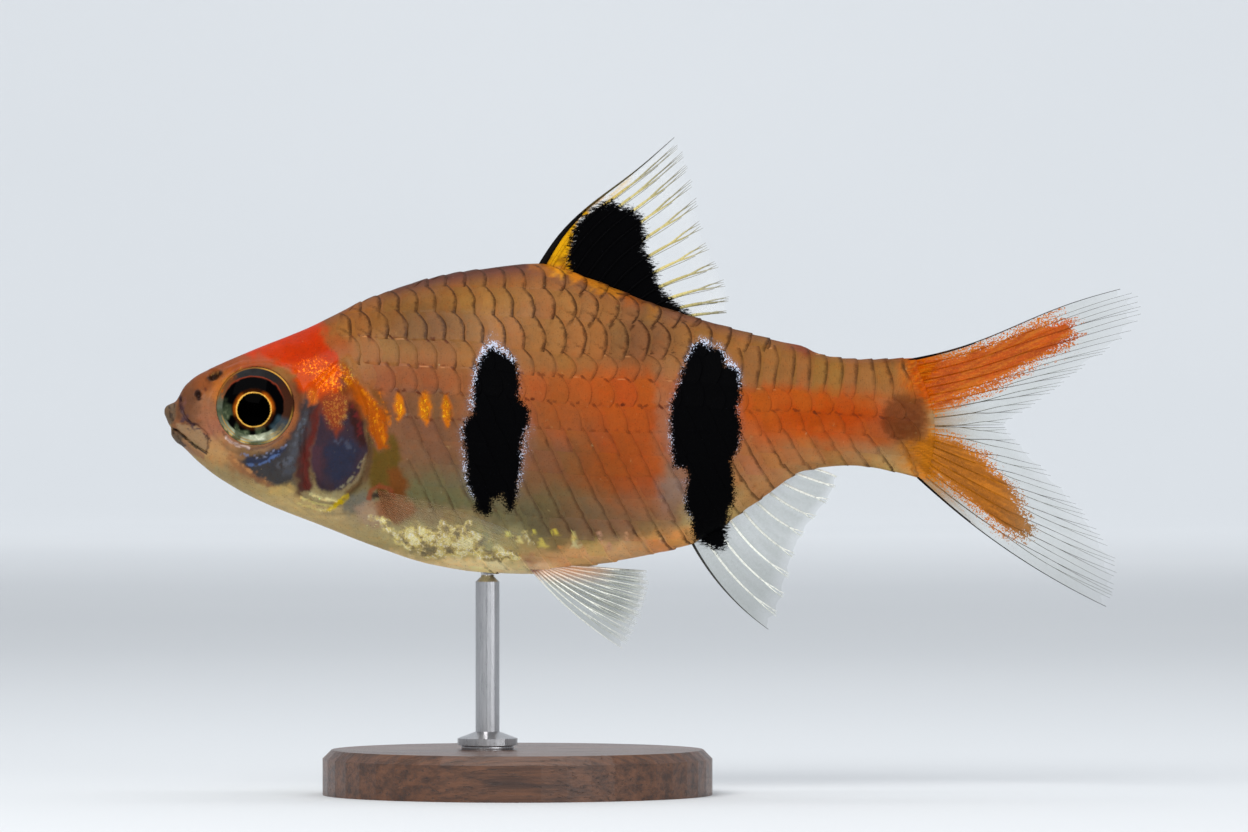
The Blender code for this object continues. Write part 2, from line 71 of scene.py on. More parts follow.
def smoothCurve(points):
    # a curve through the points that never overshoots them
    xs, ys = np.array(points, float).T
    steps = np.diff(xs)
    rises = np.diff(ys) / steps
    slopes = np.zeros(len(xs))
    slopes[0], slopes[-1] = rises[0], rises[-1]
    for i in range(1, len(steps)):
        if rises[i - 1] * rises[i] > 0:
            w0, w1 = 2 * steps[i] + steps[i - 1], steps[i] + 2 * steps[i - 1]
            slopes[i] = (w0 + w1) / (w0 / rises[i - 1] + w1 / rises[i])

    def value(x):
        x = np.clip(x, xs[0], xs[-1])
        i = np.clip(np.searchsorted(xs, x, side="right") - 1, 0, len(steps) - 1)
        h = steps[i]
        t = (x - xs[i]) / h
        return ((1 + 2 * t) * (1 - t) ** 2 * ys[i] + t * (1 - t) ** 2 * h * slopes[i]
                + t * t * (3 - 2 * t) * ys[i + 1] + t * t * (t - 1) * h * slopes[i + 1])

    return value


def curveOf(points, axis):
    # one coordinate along a line of points, for shares from 0 to 1
    return smoothCurve([(i / (len(points) - 1), point[axis]) for i, point in enumerate(points)])


def between(pair, share):
    return pair[0] + (pair[1] - pair[0]) * share


def softNoise(x, z, size, seed=0):
    # smooth random values from 0 to 1, the same each run
    u, v = np.asarray(x) / size, np.asarray(z) / size
    i, j = np.floor(u).astype(np.int64), np.floor(v).astype(np.int64)
    fu, fv = u - i, v - j
    fu, fv = fu * fu * (3 - 2 * fu), fv * fv * (3 - 2 * fv)

    def corner(a, b):
        h = ((i + a) * 374761393 + (j + b) * 668265263 + seed * 69069) & 0xFFFFFFFF
        h = ((h ^ (h >> 13)) * 1274126177) & 0xFFFFFFFF
        return ((h ^ (h >> 16)) & 0xFFFF) / 65535.0

    low = corner(0, 0) * (1 - fu) + corner(1, 0) * fu
    high = corner(0, 1) * (1 - fu) + corner(1, 1) * fu
    return low * (1 - fv) + high * fv


def distanceToLine(x, z, line):
    best = np.full(np.shape(x), 1e9)
    for (x0, z0), (x1, z1) in zip(line, line[1:]):
        dx, dz = x1 - x0, z1 - z0
        t = np.clip(((x - x0) * dx + (z - z0) * dz) / (dx * dx + dz * dz), 0, 1)
        best = np.minimum(best, np.hypot(x - x0 - t * dx, z - z0 - t * dz))
    return best


def distanceToShape(x, z, outline):
    # negative inside
    closed = list(outline) + [outline[0]]
    inside = np.zeros(np.shape(x), bool)
    for (x0, z0), (x1, z1) in zip(closed, closed[1:]):
        if z0 != z1:
            crosses = ((z0 > z) != (z1 > z)) & (x < (x1 - x0) * (z - z0) / (z1 - z0) + x0)
            inside ^= crosses
    away = distanceToLine(x, z, closed)
    return np.where(inside, -away, away)


def linked(name, data):
    made = bpy.data.objects.new(name, data)
    bpy.context.scene.collection.objects.link(made)
    return made


def addObject(name, vertices, faces, materials):
    mesh = bpy.data.meshes.new(name)
    mesh.from_pydata(toMetres(vertices).tolist(), [], [tuple(int(i) for i in f) for f in faces])
    for material in materials:
        mesh.materials.append(material)
    mesh.polygons.foreach_set("use_smooth", [True] * len(mesh.polygons))
    mesh.update()
    made = linked(name, mesh)
    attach(made, "root")
    return made


def addValues(made, name, values):
    values = np.asarray(values, np.float32)
    if values.ndim == 1:
        made.data.attributes.new(name, "FLOAT", "POINT").data.foreach_set("value", values)
    else:
        colours = np.ones((len(values), 4), np.float32)
        colours[:, :3] = values
        made.data.attributes.new(name, "FLOAT_COLOR", "POINT").data.foreach_set("color", colours.ravel())


def gridFaces(rows, columns, wrap=False, first=0):
    faces = []
    for i in range(rows - 1):
        for j in range(columns if wrap else columns - 1):
            k = (j + 1) % columns
            faces.append((first + i * columns + j, first + i * columns + k,
                          first + (i + 1) * columns + k, first + (i + 1) * columns + j))
    return faces


print("stage: body shape")
body = {
    "back": [(0, 0.22), (0.12, 0.4), (0.35, 0.53), (0.7, 0.7), (0.87, 0.95), (1.07, 1.33), (1.3, 1.7),
             (1.65, 2.05), (2.1, 2.4), (2.9, 2.82), (5.9, 4.15), (9.3, 5.5), (13.5, 7.5), (17.3, 8.8),
             (21.0, 9.5), (25.0, 9.9), (26.5, 9.5), (33.7, 6.8), (38.4, 5.4), (41.1, 4.68), (42.5, 4.4),
             (43.4, 3.95), (44.4, 3.68), (46.5, 3.5), (50.0, 3.6), (53.0, 3.9)],
    "belly": [(0, -0.2), (0.15, -0.5), (0.35, -0.84), (0.47, -1.12), (0.52, -1.6), (0.62, -1.85),
              (0.8, -2.05), (1.1, -2.25), (1.4, -2.52), (2.2, -3.3), (3.6, -4.4), (6.5, -6.0), (10.5, -7.6),
              (14.1, -9.0), (17.7, -10.15), (21.3, -10.7), (24.5, -10.8), (28.5, -10.2), (35.0, -8.8),
              (40.0, -5.6), (42.8, -3.85), (45.7, -3.57), (50.0, -4.5), (53.0, -5.6)],
    "halfWidth": [(0, 0.5), (0.15, 0.8), (0.4, 1.05), (0.9, 1.4), (2.0, 1.95), (4.0, 2.6), (6.2, 3.05),
                  (9.5, 3.55), (16.0, 4.1), (22.0, 4.25), (27.0, 4.0), (32.0, 3.35), (37.0, 2.5),
                  (42.0, 1.75), (46.0, 1.3), (50.0, 0.95), (53.0, 0.7)],
    "widest": [(0, 0.5), (8.0, 0.5), (20.0, 0.54), (35.0, 0.52), (53.0, 0.5)],
    "backPower": 1.75, "bellyPower": 2.2,
    "tailRootX": 50.0, "tailBulge": 1.2, "tailHalfDepth": 4.3, "forkZ": -0.95, "tailThin": 0.12,
}
back = smoothCurve(body["back"])
belly = smoothCurve(body["belly"])
halfWidth = smoothCurve(body["halfWidth"])
widestShare = smoothCurve(body["widest"])


def tailRoot(z):
    share = np.minimum(1.0, np.abs(z - body["forkZ"] + 0.4) / body["tailHalfDepth"])
    return body["tailRootX"] + body["tailBulge"] * (1 - share ** 2)


def bodyPoint(x, angle):
    # angle 0 is the back's ridge, pi the belly's; the left flank lies between them
    x, angle = np.broadcast_arrays(np.asarray(x, float), np.asarray(angle, float))
    wide = belly(x) + widestShare(x) * (back(x) - belly(x))
    side = np.cos(angle)
    reach = np.where(side >= 0, back(x) - wide, wide - belly(x))
    power = np.where(side >= 0, body["backPower"], body["bellyPower"])
    z = wide + np.sign(side) * np.abs(side) ** (2 / power) * reach
    thin = 1 - (1 - body["tailThin"]) * smoothStep(47.0, 50.0, x)
    y = -halfWidth(x) * np.sin(angle) * thin
    shifted = x + (tailRoot(z) - body["tailRootX"]) * smoothStep(46.0, 50.0, x)
    return np.stack([shifted, y, z], -1)


def flankWidth(x, z):
    wide = belly(x) + widestShare(x) * (back(x) - belly(x))
    up = z >= wide
    reach = np.where(up, back(x) - wide, wide - belly(x))
    power = np.where(up, body["backPower"], body["bellyPower"])
    share = np.minimum(1.0, np.abs(z - wide) / reach)
    return halfWidth(x) * np.sqrt(1 - share ** power)


def outlineFrom(points):
    return [fromPicture(*p) for p in points]


# golden scales under the dorsal fin: place and colour
scallops = [
    (547, 268, (186, 118, 22)), (561, 271, (204, 138, 30)), (575, 277, (196, 120, 26)),
    (589, 282, (190, 114, 26)), (602, 289, (172, 100, 22)), (614, 294, (178, 110, 26)),
    (627, 300, (150, 80, 24)), (640, 305, (140, 72, 24)), (654, 310, (160, 96, 24)),
]
mouthPixels = [(170, 429), (177.2, 430.4), (181, 433.5), (185.6, 436.5), (188.7, 440), (194.8, 444.9),
               (200.9, 448.8), (207.8, 453)]

# A patch is its name, centre, half length and height, tilt in degrees, colour, strength and edge.
skinColours = {
    "heights": [(0.0, (176, 146, 88)), (0.08, (178, 150, 96)), (0.17, (140, 124, 84)), (0.3, (114, 90, 60)),
                (0.45, (138, 84, 52)), (0.6, (156, 92, 48)), (0.68, (146, 96, 52)), (0.9, (144, 98, 50)),
                (0.955, (124, 78, 40)), (0.985, (92, 52, 38)), (1.0, (74, 40, 30))],
    "patches": [
        ("front flank", 420, 450, 64, 64, 0, (115, 80, 56), 0.8),
        ("front flank low", 430, 505, 80, 30, 0, (98, 98, 66), 0.9),
        ("pink row", 420, 380, 56, 17, 3, (137, 79, 46), 0.85),
        ("between bars upper", 600, 346, 120, 44, 4, (146, 93, 51), 0.6),
        ("between bars band", 610, 394, 104, 20, 3, (168, 80, 30), 0.9, 0.5),
        ("band heart", 640, 394, 40, 15, 3, (166, 80, 26), 0.8, 0.4),
        ("orange before bar", 630, 428, 56, 64, 8, (168, 74, 22), 0.85),
        ("orange deep", 636, 460, 44, 60, -10, (156, 70, 24), 0.7),
        ("behind first bar", 552, 460, 40, 62, 0, (116, 76, 48), 0.8),
        ("green low", 548, 522, 52, 28, 0, (92, 88, 60), 0.85),
        ("low flank", 612, 520, 60, 24, 0, (112, 78, 54), 0.7),
        ("lilac before bar", 674, 470, 13, 60, 3, (132, 96, 76), 0.75),
        ("lilac upper", 664, 410, 10, 40, 3, (152, 98, 66), 0.7),
        ("vent orange", 664, 545, 40, 12, -14, (212, 140, 76), 0.85),
        ("rear of bar", 764, 480, 36, 34, 30, (168, 98, 58), 0.7),
        ("stalk back", 800, 362, 110, 28, 5, (134, 88, 42), 0.7),
        ("stalk hump", 798, 345, 20, 8, 14, (112, 52, 32), 0.85),
        ("stalk band", 795, 409, 90, 22, 2, (170, 76, 18), 0.95, 0.4),
        ("stalk band heart", 828, 421, 56, 16, 0, (164, 62, 4), 0.85, 0.5),
        ("stalk band low", 806, 438, 80, 13, 3, (178, 78, 22), 0.75),
        ("stalk low", 800, 455, 90, 14, 4, (160, 98, 54), 0.75),
        ("tail base", 926, 380, 26, 28, 0, (168, 84, 12), 0.85),
        ("tail base low", 928, 456, 26, 28, 0, (170, 100, 26), 0.85),
        ("tail base middle", 936, 420, 14, 20, 0, (170, 120, 66), 0.6),
        ("nape", 352, 322, 40, 22, -28, (140, 86, 38), 0.85),
        ("nape rosy", 338, 345, 16, 10, 20, (150, 74, 34), 0.8),
        ("forehead", 240, 368, 44, 18, -30, (148, 68, 28), 0.9),
        ("snout", 202, 414, 34, 32, 0, (140, 92, 62), 0.95),
        ("snout rosy", 217, 432, 14, 18, -30, (150, 94, 72), 0.7),
        ("snout top", 205, 381, 30, 11, -38, (124, 66, 32), 0.9),
        ("by the eye", 224, 388, 10, 15, 25, (184, 106, 36), 0.85),
        ("above the eye", 262, 364, 26, 7, -14, (150, 70, 38), 0.8),
        ("chin", 214, 466, 34, 15, 32, (152, 128, 86), 0.9),
        ("cheek", 234, 460, 28, 13, 28, (132, 90, 60), 0.85),
        ("cheek pale", 214, 448, 12, 9, 34, (164, 116, 84), 0.6),
        ("throat", 270, 500, 70, 12, 20, (154, 136, 94), 0.9),
        ("throat low", 320, 517, 76, 11, 18, (196, 168, 112), 0.9),
        ("breast", 395, 524, 66, 16, 12, (150, 132, 100), 0.85),
        ("belly under foil", 452, 543, 72, 20, 4, (176, 164, 112), 0.9),
        ("belly edge", 455, 569, 96, 10, 4, (252, 218, 152), 0.95),
        ("belly behind", 585, 562, 66, 14, -5, (222, 168, 116), 0.85),
        ("pelvic root", 527, 563, 9, 7, 0, (140, 72, 54), 0.8, 0.5),
        ("behind the eye", 300, 392, 12, 16, 20, (112, 62, 40), 0.8),
        *[("dorsal scallop", px, py, 7.5, 7.5, 22, colour, *((0.9, 0.3) if px < 600 else (0.85, 0.35)))
          for px, py, colour in scallops],
        ("nape shade", 346, 312, 26, 8, -30, (116, 66, 36), 0.6),
        ("above the row", 425, 322, 46, 26, 0, (110, 73, 39), 0.85),
        ("upper rear", 640, 338, 34, 30, 0, (112, 76, 46), 0.85),
        ("orange left", 562, 414, 26, 26, 0, (156, 78, 30), 0.7),
        ("beside the bar", 666, 368, 14, 12, 0, (144, 98, 60), 0.7),
        ("snout front", 188, 408, 11, 24, 0, (92, 60, 42), 0.85),
        ("cheek light", 217, 453, 16, 14, 20, (182, 140, 88), 0.8),
        ("lilac low", 668, 488, 12, 16, 0, (126, 104, 90), 0.6),
        ("belly rim", 502, 567, 44, 8, 3, (255, 236, 180), 0.85),
        ("veil", 432, 514, 54, 9, 6, (140, 116, 84), 0.7),
        ("upper middle", 552, 318, 34, 30, 0, (140, 97, 56), 0.4),
        ("orange low", 600, 468, 30, 26, 0, (132, 66, 24), 0.6),
        ("stalk end low", 874, 436, 20, 10, 0, (164, 76, 22), 0.65),
    ],
    # name, softness of its edge in pixels, colour, strength and outline
    "regions": [
        ("crown", 8, (182, 46, 0), 0.96,
         [(232, 352), (262, 336), (290, 330), (318, 318), (327, 329), (325, 343), (337, 356), (348, 372),
          (344, 392), (330, 397), (312, 389), (301, 391), (295, 374), (279, 363), (256, 358)]),
        ("crown hot", 9, (174, 42, 0), 0.8,
         [(282, 338), (318, 328), (324, 344), (336, 360), (340, 378), (318, 374), (300, 368), (286, 354)]),
        ("gill fire", 7, (192, 66, 2), 0.95,
         [(292, 366), (316, 360), (334, 362), (346, 372), (346, 392), (330, 402), (314, 392), (300, 386)]),
        ("slate cheek", 5, (50, 50, 54), 0.95,
         [(304, 400), (312, 394), (321, 404), (312, 430), (303, 452), (297, 471), (293, 487), (276, 485),
          (258, 481), (244, 468), (240, 458), (257, 455), (278, 448), (293, 437), (300, 418)]),
        ("slate light", 6, (72, 72, 76), 0.8,
         [(284, 462), (298, 436), (306, 412), (314, 412), (306, 440), (296, 470), (282, 474)]),
        ("rosy edge", 3, (146, 98, 62), 0.7,
         [(230, 448), (240, 460), (262, 478), (284, 488), (262, 484), (240, 470), (228, 458)]),
        ("throat light", 4, (190, 160, 96), 0.7,
         [(270, 486), (292, 482), (298, 490), (282, 495), (268, 492)]),
        ("red groove", 6, (66, 36, 36), 0.95,
         [(322, 398), (327, 401), (320, 428), (315, 449), (312, 469), (314, 490), (304, 494), (294, 492),
          (297, 469), (302, 449), (310, 426), (316, 408)]),
        ("red groove bright", 5, (98, 32, 24), 0.7,
         [(322, 402), (325, 404), (318, 428), (313, 449), (309, 469), (311, 488), (304, 490), (304, 469),
          (308, 447), (314, 426)]),
        ("gill shell", 3, (52, 40, 50), 0.98,
         [(324, 402), (332, 424), (346, 420), (352, 404), (360, 414), (367, 428), (369, 449), (365, 464),
          (355, 481), (342, 491), (329, 492), (318, 485), (313, 464), (315, 449), (318, 433)]),
        ("gill slate", 8, (38, 42, 60), 0.9,
         [(330, 446), (352, 440), (360, 452), (352, 474), (338, 486), (328, 474)]),
        ("gill front flecks", 5, (74, 46, 54), 0.7,
         [(314, 448), (326, 448), (324, 470), (322, 484), (314, 470)]),
        ("gill maroon", 5, (50, 24, 20), 0.9,
         [(350, 400), (358, 404), (367, 422), (369, 446), (361, 446), (355, 428), (349, 412)]),
        ("gill orange", 7, (128, 54, 28), 0.95,
         [(324, 394), (346, 390), (351, 404), (346, 420), (340, 438), (331, 430), (324, 414)]),
        ("gill dark notch", 5, (96, 44, 18), 0.85,
         [(341, 372), (350, 376), (352, 392), (346, 398), (342, 386)]),
        ("gill top dark", 5, (116, 54, 16), 0.8,
         [(346, 374), (354, 382), (362, 398), (368, 420), (362, 420), (354, 404), (346, 392)]),
        ("gill lobe", 4, (186, 88, 26), 0.9, [(309, 386), (319, 386), (319, 402), (312, 406), (308, 398)]),
        ("gill rim", 3, (96, 74, 48), 0.9,
         [(366, 424), (372, 433), (374, 451), (371, 469), (363, 485), (352, 495), (346, 494), (357, 481),
          (366, 466), (369, 449)]),
        ("gill rim rear", 3, (86, 62, 40), 0.8,
         [(362, 408), (370, 424), (376, 446), (374, 474), (366, 484), (369, 468), (371, 449), (368, 432)]),
        ("gill rim light", 2, (128, 114, 84), 0.6,
         [(367, 452), (364, 464), (355, 480), (342, 490), (334, 494), (343, 494), (357, 483), (367, 468)]),
        ("gill foot", 3, (152, 140, 100), 0.6,
         [(300, 491), (314, 490), (330, 495), (345, 494), (338, 502), (318, 503), (302, 498)]),
        ("yellow flash", 1.5, (204, 172, 22), 0.97,
         [(351, 493), (349, 500), (339, 507), (326, 512), (331, 506), (342, 498)]),
        ("shoulder orange", 4, (162, 74, 2), 0.96,
         [(346, 362), (357, 378), (366, 391), (379, 402), (389, 418), (392, 436), (389.5, 452),
          (381, 448), (374, 433), (368, 420), (360, 405), (352, 392), (345, 378)]),
        ("shoulder brown", 5, (112, 66, 26), 0.85,
         [(368, 386), (380, 388), (388, 402), (392, 420), (388, 424), (382, 406)]),
        ("shoulder olive", 5, (92, 70, 22), 0.95,
         [(393, 430), (397, 434), (400, 448), (403, 469), (406, 484), (401, 495), (380, 490), (370, 485),
          (374, 469), (375, 449), (382, 450), (390, 450)]),
        ("shoulder rust", 6, (112, 60, 24), 0.8,
         [(390, 470), (404, 468), (410, 486), (404, 500), (390, 494)]),
        ("under gill", 5, (104, 100, 88), 0.85, [(344, 500), (366, 490), (376, 500), (364, 512), (344, 514)]),
        ("breast pale", 5, (166, 136, 112), 0.6,
         [(356, 506), (374, 502), (382, 516), (392, 528), (374, 528), (360, 518)]),
        ("fin root", 6, (140, 92, 62), 0.9,
         [(374, 506), (392, 496), (410, 498), (420, 510), (402, 522), (384, 520)]),
        ("between lenses", 6, (112, 76, 54), 0.6,
         [(386, 396), (400, 388), (440, 388), (456, 394), (456, 424), (440, 434), (410, 436), (392, 420)]),
        ("lens one", 2.5, (196, 110, 10), 0.95,
         [(401, 391), (406.5, 402), (406, 414), (401, 423), (396, 413), (396, 402)]),
        ("lens two", 2.5, (196, 108, 10), 0.95,
         [(426, 390), (432.5, 402), (431.5, 416), (427, 427), (421, 415), (419.5, 402)]),
        ("lens three", 2.5, (198, 104, 8), 0.95,
         [(447, 392), (452.5, 404), (452.5, 418), (448, 430), (442, 418), (441.5, 404)]),
        ("dorsal foot front", 5, (138, 82, 28), 0.8,
         [(528, 262), (546, 262), (552, 272), (540, 276), (528, 272)]),
        ("upper jaw", 2.5, (146, 116, 84), 0.9,
         [(178, 424), (187, 426), (198, 427), (206, 434), (209, 440), (208, 451), (196, 444), (186, 435),
          (177, 429)]),
        ("snout tip", 3, (98, 80, 62), 0.95,
         [(163, 404), (170, 401), (177, 404), (178, 414), (176, 424), (168, 424), (163, 414)]),
        ("lip front", 3, (88, 72, 58), 0.9,
         [(168, 428), (178, 431), (184, 437), (184, 446), (176, 446), (169, 438)]),
        ("lower lip", 2.5, (144, 104, 74), 0.9,
         [(184, 438), (196, 447), (206, 454), (204, 459), (192, 454), (182, 446)]),
    ],
    # name, half width in pixels, colour, strength, 1 where it is broken into specks, and its line
    "streaks": [
        ("yellow lines", 0.8, (212, 196, 120), 0.8, 0, [(302, 497), (318, 503), (334, 506)]),
        ("yellow lines 2", 0.8, (204, 184, 112), 0.7, 0, [(298, 503), (314, 508), (326, 510)]),
        ("yellow lines 3", 0.9, (214, 200, 140), 0.8, 0, [(312, 494), (326, 499), (338, 501)]),
        ("yellow lines 4", 0.7, (190, 166, 110), 0.5, 0, [(288, 502), (306, 511), (322, 514)]),
        ("blue streak", 1.6, (120, 128, 156), 0.85, 1, [(243, 455), (258, 457), (274, 453), (287, 446)]),
        ("blue streak deep", 2.6, (34, 44, 70), 0.7, 0, [(250, 461), (262, 461), (275, 456), (284, 449)]),
        ("blue streak low", 1.4, (78, 100, 144), 0.8, 1, [(249, 465), (262, 464), (272, 460), (282, 452)]),
        ("cheek specks", 1.8, (176, 124, 76), 0.75, 1, [(228, 450), (238, 462), (252, 472), (268, 480)]),
        ("cheek specks 2", 3.4, (86, 90, 100), 0.6, 1, [(282, 466), (292, 458), (300, 440), (305, 420)]),
        ("shoulder gold", 2.0, (210, 120, 10), 0.8, 1, [(360, 384), (374, 402), (382, 424), (386, 444)]),
        ("shoulder strand", 1.6, (190, 100, 16), 0.8, 1, [(382, 392), (388, 410), (391, 424)]),
        ("gill gold", 3.0, (214, 112, 12), 0.8, 1, [(316, 372), (330, 378), (342, 390)]),
        ("gill red", 2.2, (104, 32, 34), 0.7, 1, [(354, 406), (361, 424), (363, 444)]),
        ("gill cloud", 2.6, (66, 70, 86), 0.7, 1, [(336, 440), (346, 442), (354, 450)]),
        ("gill rim specks", 1.2, (140, 132, 104), 0.7, 1, [(366, 455), (359, 471), (346, 484), (336, 490)]),
        ("pectoral ring", 2.0, (128, 62, 36), 0.85, 0,
         [(371, 498), (372, 490), (380, 486), (390, 488), (395, 496)]),
        ("pectoral dark", 2.6, (46, 32, 28), 0.9, 0, [(376, 495), (382, 493), (389, 496)]),
        ("front of lips", 1.4, (56, 42, 38), 0.8, 0, [(170, 429), (177.2, 430.4)]),
        ("tip dark", 1.6, (54, 44, 38), 0.85, 1, [(167, 405), (171, 410), (174, 420)]),
        ("tip notch", 1.0, (52, 36, 34), 0.85, 1, [(174, 402), (177, 410), (178, 420)]),
        ("lip specks", 1.8, (48, 38, 36), 0.8, 1, [(174, 434), (179, 441), (186, 447)]),
        ("mouth line", 0.8, (14, 10, 10), 0.98, 0, mouthPixels[1:]),
        ("jaw fold", 1.5, (44, 28, 34), 0.95, 0,
         [(180.4, 397), (181, 402), (182.4, 409), (185.6, 416.4), (190.4, 421.6), (195, 425)]),
        ("jaw fold rear", 1.6, (70, 46, 48), 0.9, 1,
         [(190, 422), (197.8, 425.4), (204, 430), (208.6, 434.6), (210.9, 440)]),
        ("jaw specks", 3.0, (74, 54, 58), 0.85, 1, [(184, 420), (190, 427), (200, 430)]),
        ("jaw specks up", 2.4, (84, 58, 58), 0.8, 1, [(183, 408), (188, 416)]),
        ("snout specks", 3.2, (104, 68, 60), 0.8, 1, [(180, 390), (184, 402)]),
        ("jaw rear line", 0.7, (80, 56, 44), 0.7, 0, [(208.6, 435), (209.3, 445.7), (207.8, 452)]),
        ("rear nostril", 3.2, (40, 25, 16), 0.97, 0, [(211, 378.6), (216, 376.6), (220.4, 373.8)]),
        ("rear nostril gold", 0.8, (150, 110, 60), 0.8, 0, [(213, 374.6), (218, 372)]),
        ("front nostril", 2.5, (44, 28, 24), 0.97, 0, [(198.6, 392.5), (200, 398)]),
        ("snout freckle", 1.1, (84, 44, 30), 0.8, 0, [(206, 389), (207, 390)]),
        ("eye highlight", 1.2, (226, 204, 196), 0.7, 0,
         [(228, 437.5), (234, 442.6), (241, 446), (250, 447.6)]),
        ("eye shadow", 0.9, (96, 64, 48), 0.7, 0,
         [(224, 432), (234, 443), (250, 449), (268, 447), (284, 437)]),
        ("brow gold", 1.2, (176, 116, 44), 0.6, 1, [(218, 398), (226, 380), (242, 369)]),
    ],
    # yellow and tan tips of the lowest scales: place, height, width, colour
    "tips": [((534, 530), 7, 5, (206, 190, 80)), ((556, 530), 8, 6, (206, 190, 70)),
             ((574, 534), 12, 7, (212, 200, 120)), ((600, 535), 14, 6, (196, 150, 112)),
             ((627, 537), 14, 8, (194, 150, 104)), ((645, 540), 14, 7, (196, 146, 98)),
             ((543, 542), 9, 11, (210, 194, 96)), ((559, 545), 6, 7, (204, 140, 84)),
             ((575, 543), 8, 10, (206, 196, 146)), ((609, 545), 10, 8, (196, 138, 104)),
             ((520, 538), 8, 8, (216, 206, 130)), ((662, 538), 10, 8, (200, 150, 100)),
             ((590, 546), 6, 6, (190, 150, 100)), ((508, 532), 7, 7, (214, 204, 110))],
    "tailSpot": (905, 418, 22, (98, 47, 12)),
}

bars = {
    "first": [(491, 347), (505, 354), (517, 364), (520, 386), (520, 400), (529.5, 410), (529.5, 422),
              (522, 441), (522, 465), (519, 484), (517, 497), (513, 510), (508, 511), (503, 494), (499, 500),
              (493.5, 499), (492, 513), (487, 516), (476, 510), (475, 497), (468, 484), (467, 453),
              (464, 433), (466, 422), (474, 413), (475, 386), (479, 364)],
    "second": [(698, 341), (711, 348), (723, 351), (725, 365), (738, 370), (741, 396), (736, 408), (741, 426),
               (739, 448), (731, 461), (733, 476), (735, 501), (729, 509), (726, 547), (718, 552), (693, 539),
               (691, 517), (685, 509), (686, 489), (688, 476), (685, 469), (673, 466), (670, 426), (671, 403),
               (680, 380), (686, 358)],
    # pale speckles beside the bars: outlines that reach under them, and strengths
    "fringe": [([(491, 308), (496, 326), (504, 338), (512, 347), (520, 357), (523, 368), (500, 374),
                 (475, 374), (473, 360), (477, 350), (482, 338), (489, 327)], 1.0),
               ([(466, 387), (468, 369), (474, 356), (488, 366), (484, 400), (480, 416), (461, 415),
                 (463, 400)], 0.66),
               ([(461, 415), (480, 412), (476, 440), (478, 484), (490, 508), (468, 500), (461, 488),
                 (457, 470), (454, 448), (455, 430)], 0.56),
               ([(512, 352), (521, 357), (526, 372), (526, 396), (516, 400), (508, 380)], 0.45),
               ([(520, 400), (534, 416), (540, 430), (540, 444), (536, 458), (531, 470), (528, 484),
                 (524, 500), (512, 500), (512, 420)], 0.55),
               ([(688, 342), (700, 331), (712, 335), (724, 341), (731, 353), (743, 364), (748, 386),
                 (736, 392), (722, 366), (702, 352), (690, 376), (681, 362)], 0.85),
               ([(683, 352), (694, 356), (686, 404), (684, 450), (690, 470), (672, 474), (663, 450),
                 (663, 404), (673, 376)], 0.55),
               ([(736, 386), (745, 396), (746, 420), (744, 450), (736, 466), (728, 450), (728, 400)], 0.42),
               ([(692, 470), (676, 466), (671, 480), (679, 510), (687, 532), (698, 520)], 0.42)],
    "fringeEdge": 0.5,
}

# centre, half length, half height and strength, in the picture's pixels
glitter = [  # small shining flecks of the skin's own colour, painted brighter as glints
    (390, 524, 40, 10, 0.45), (335, 378, 30, 22, 0.95), (338, 410, 19, 27, 0.95), (335, 460, 26, 34, 0.22),
    (374, 420, 12, 34, 0.7), (400, 408, 7, 16, 0.8), (426, 408, 7, 18, 0.8), (448, 412, 7, 20, 0.8),
    (300, 430, 12, 40, 0.35), (304, 354, 40, 22, 0.3), (316, 366, 28, 15, 0.85),
    (325, 498, 22, 8, 0.5), (245, 468, 24, 10, 0.3),
    (420, 500, 40, 10, 0.2), (420, 382, 50, 10, 0.25), (314, 396, 8, 10, 0.8), (540, 520, 60, 20, 0.15),
]
foil = [  # bright metallic skin of the belly, its reflection partly painted into the colour
    (444, 540, 46, 17, 1.0), (404, 532, 24, 9, 0.62), (511, 553, 15, 8, 1.0), (480, 551, 24, 9, 0.7),
    (380, 523, 16, 7, 0.5), (332, 512, 24, 5, 0.25), (526, 540, 9, 8, 0.4),
    (462, 547, 18, 8, 1.4), (513, 554, 13, 7, 1.4), (470, 530, 11, 8, 1.15), (436, 530, 12, 6, 1.15),
]

barShapes = [outlineFrom(bars["first"]), outlineFrom(bars["second"])]


def plain(count, *colour):
    return np.tile(srgb(*colour), (count, 1))


def blend(colours, colour, weight):
    return colours + (colour - colours) * weight[:, None]


def coated(colours, *coats):
    # each coat is a colour and how far it covers
    for colour, weight in coats:
        colours = blend(colours, srgb(*colour), weight)
    return colours


clearDistance = 3.0  # so many millimetres from a marking, nothing of it shows


def farAway(points):
    return np.full(len(points), clearDistance)


tailUpper = outlineFrom([(890, 352), (930, 350), (944, 354), (978, 346), (1002, 336), (1036, 321),
                         (1064, 312), (1080, 320), (1080, 336), (1066, 350), (1040, 362), (1020, 374),
                         (990, 390), (962, 402), (938, 412), (890, 412)])
tailLower = outlineFrom([(890, 424), (936, 430), (960, 440), (985, 455), (1012, 482), (1036, 508),
                         (1042, 530), (1030, 546), (1006, 536), (985, 517), (960, 497), (935, 480),
                         (890, 470)])


def spotAway(px, py):
    # 1 on the edge of the square-shouldered dark spot
    cx, cy, radius, _ = skinColours["tailSpot"]
    return (np.abs((px - cx) / radius) ** 2.6 + np.abs((py - cy) / radius) ** 2.6) ** (1 / 2.6)


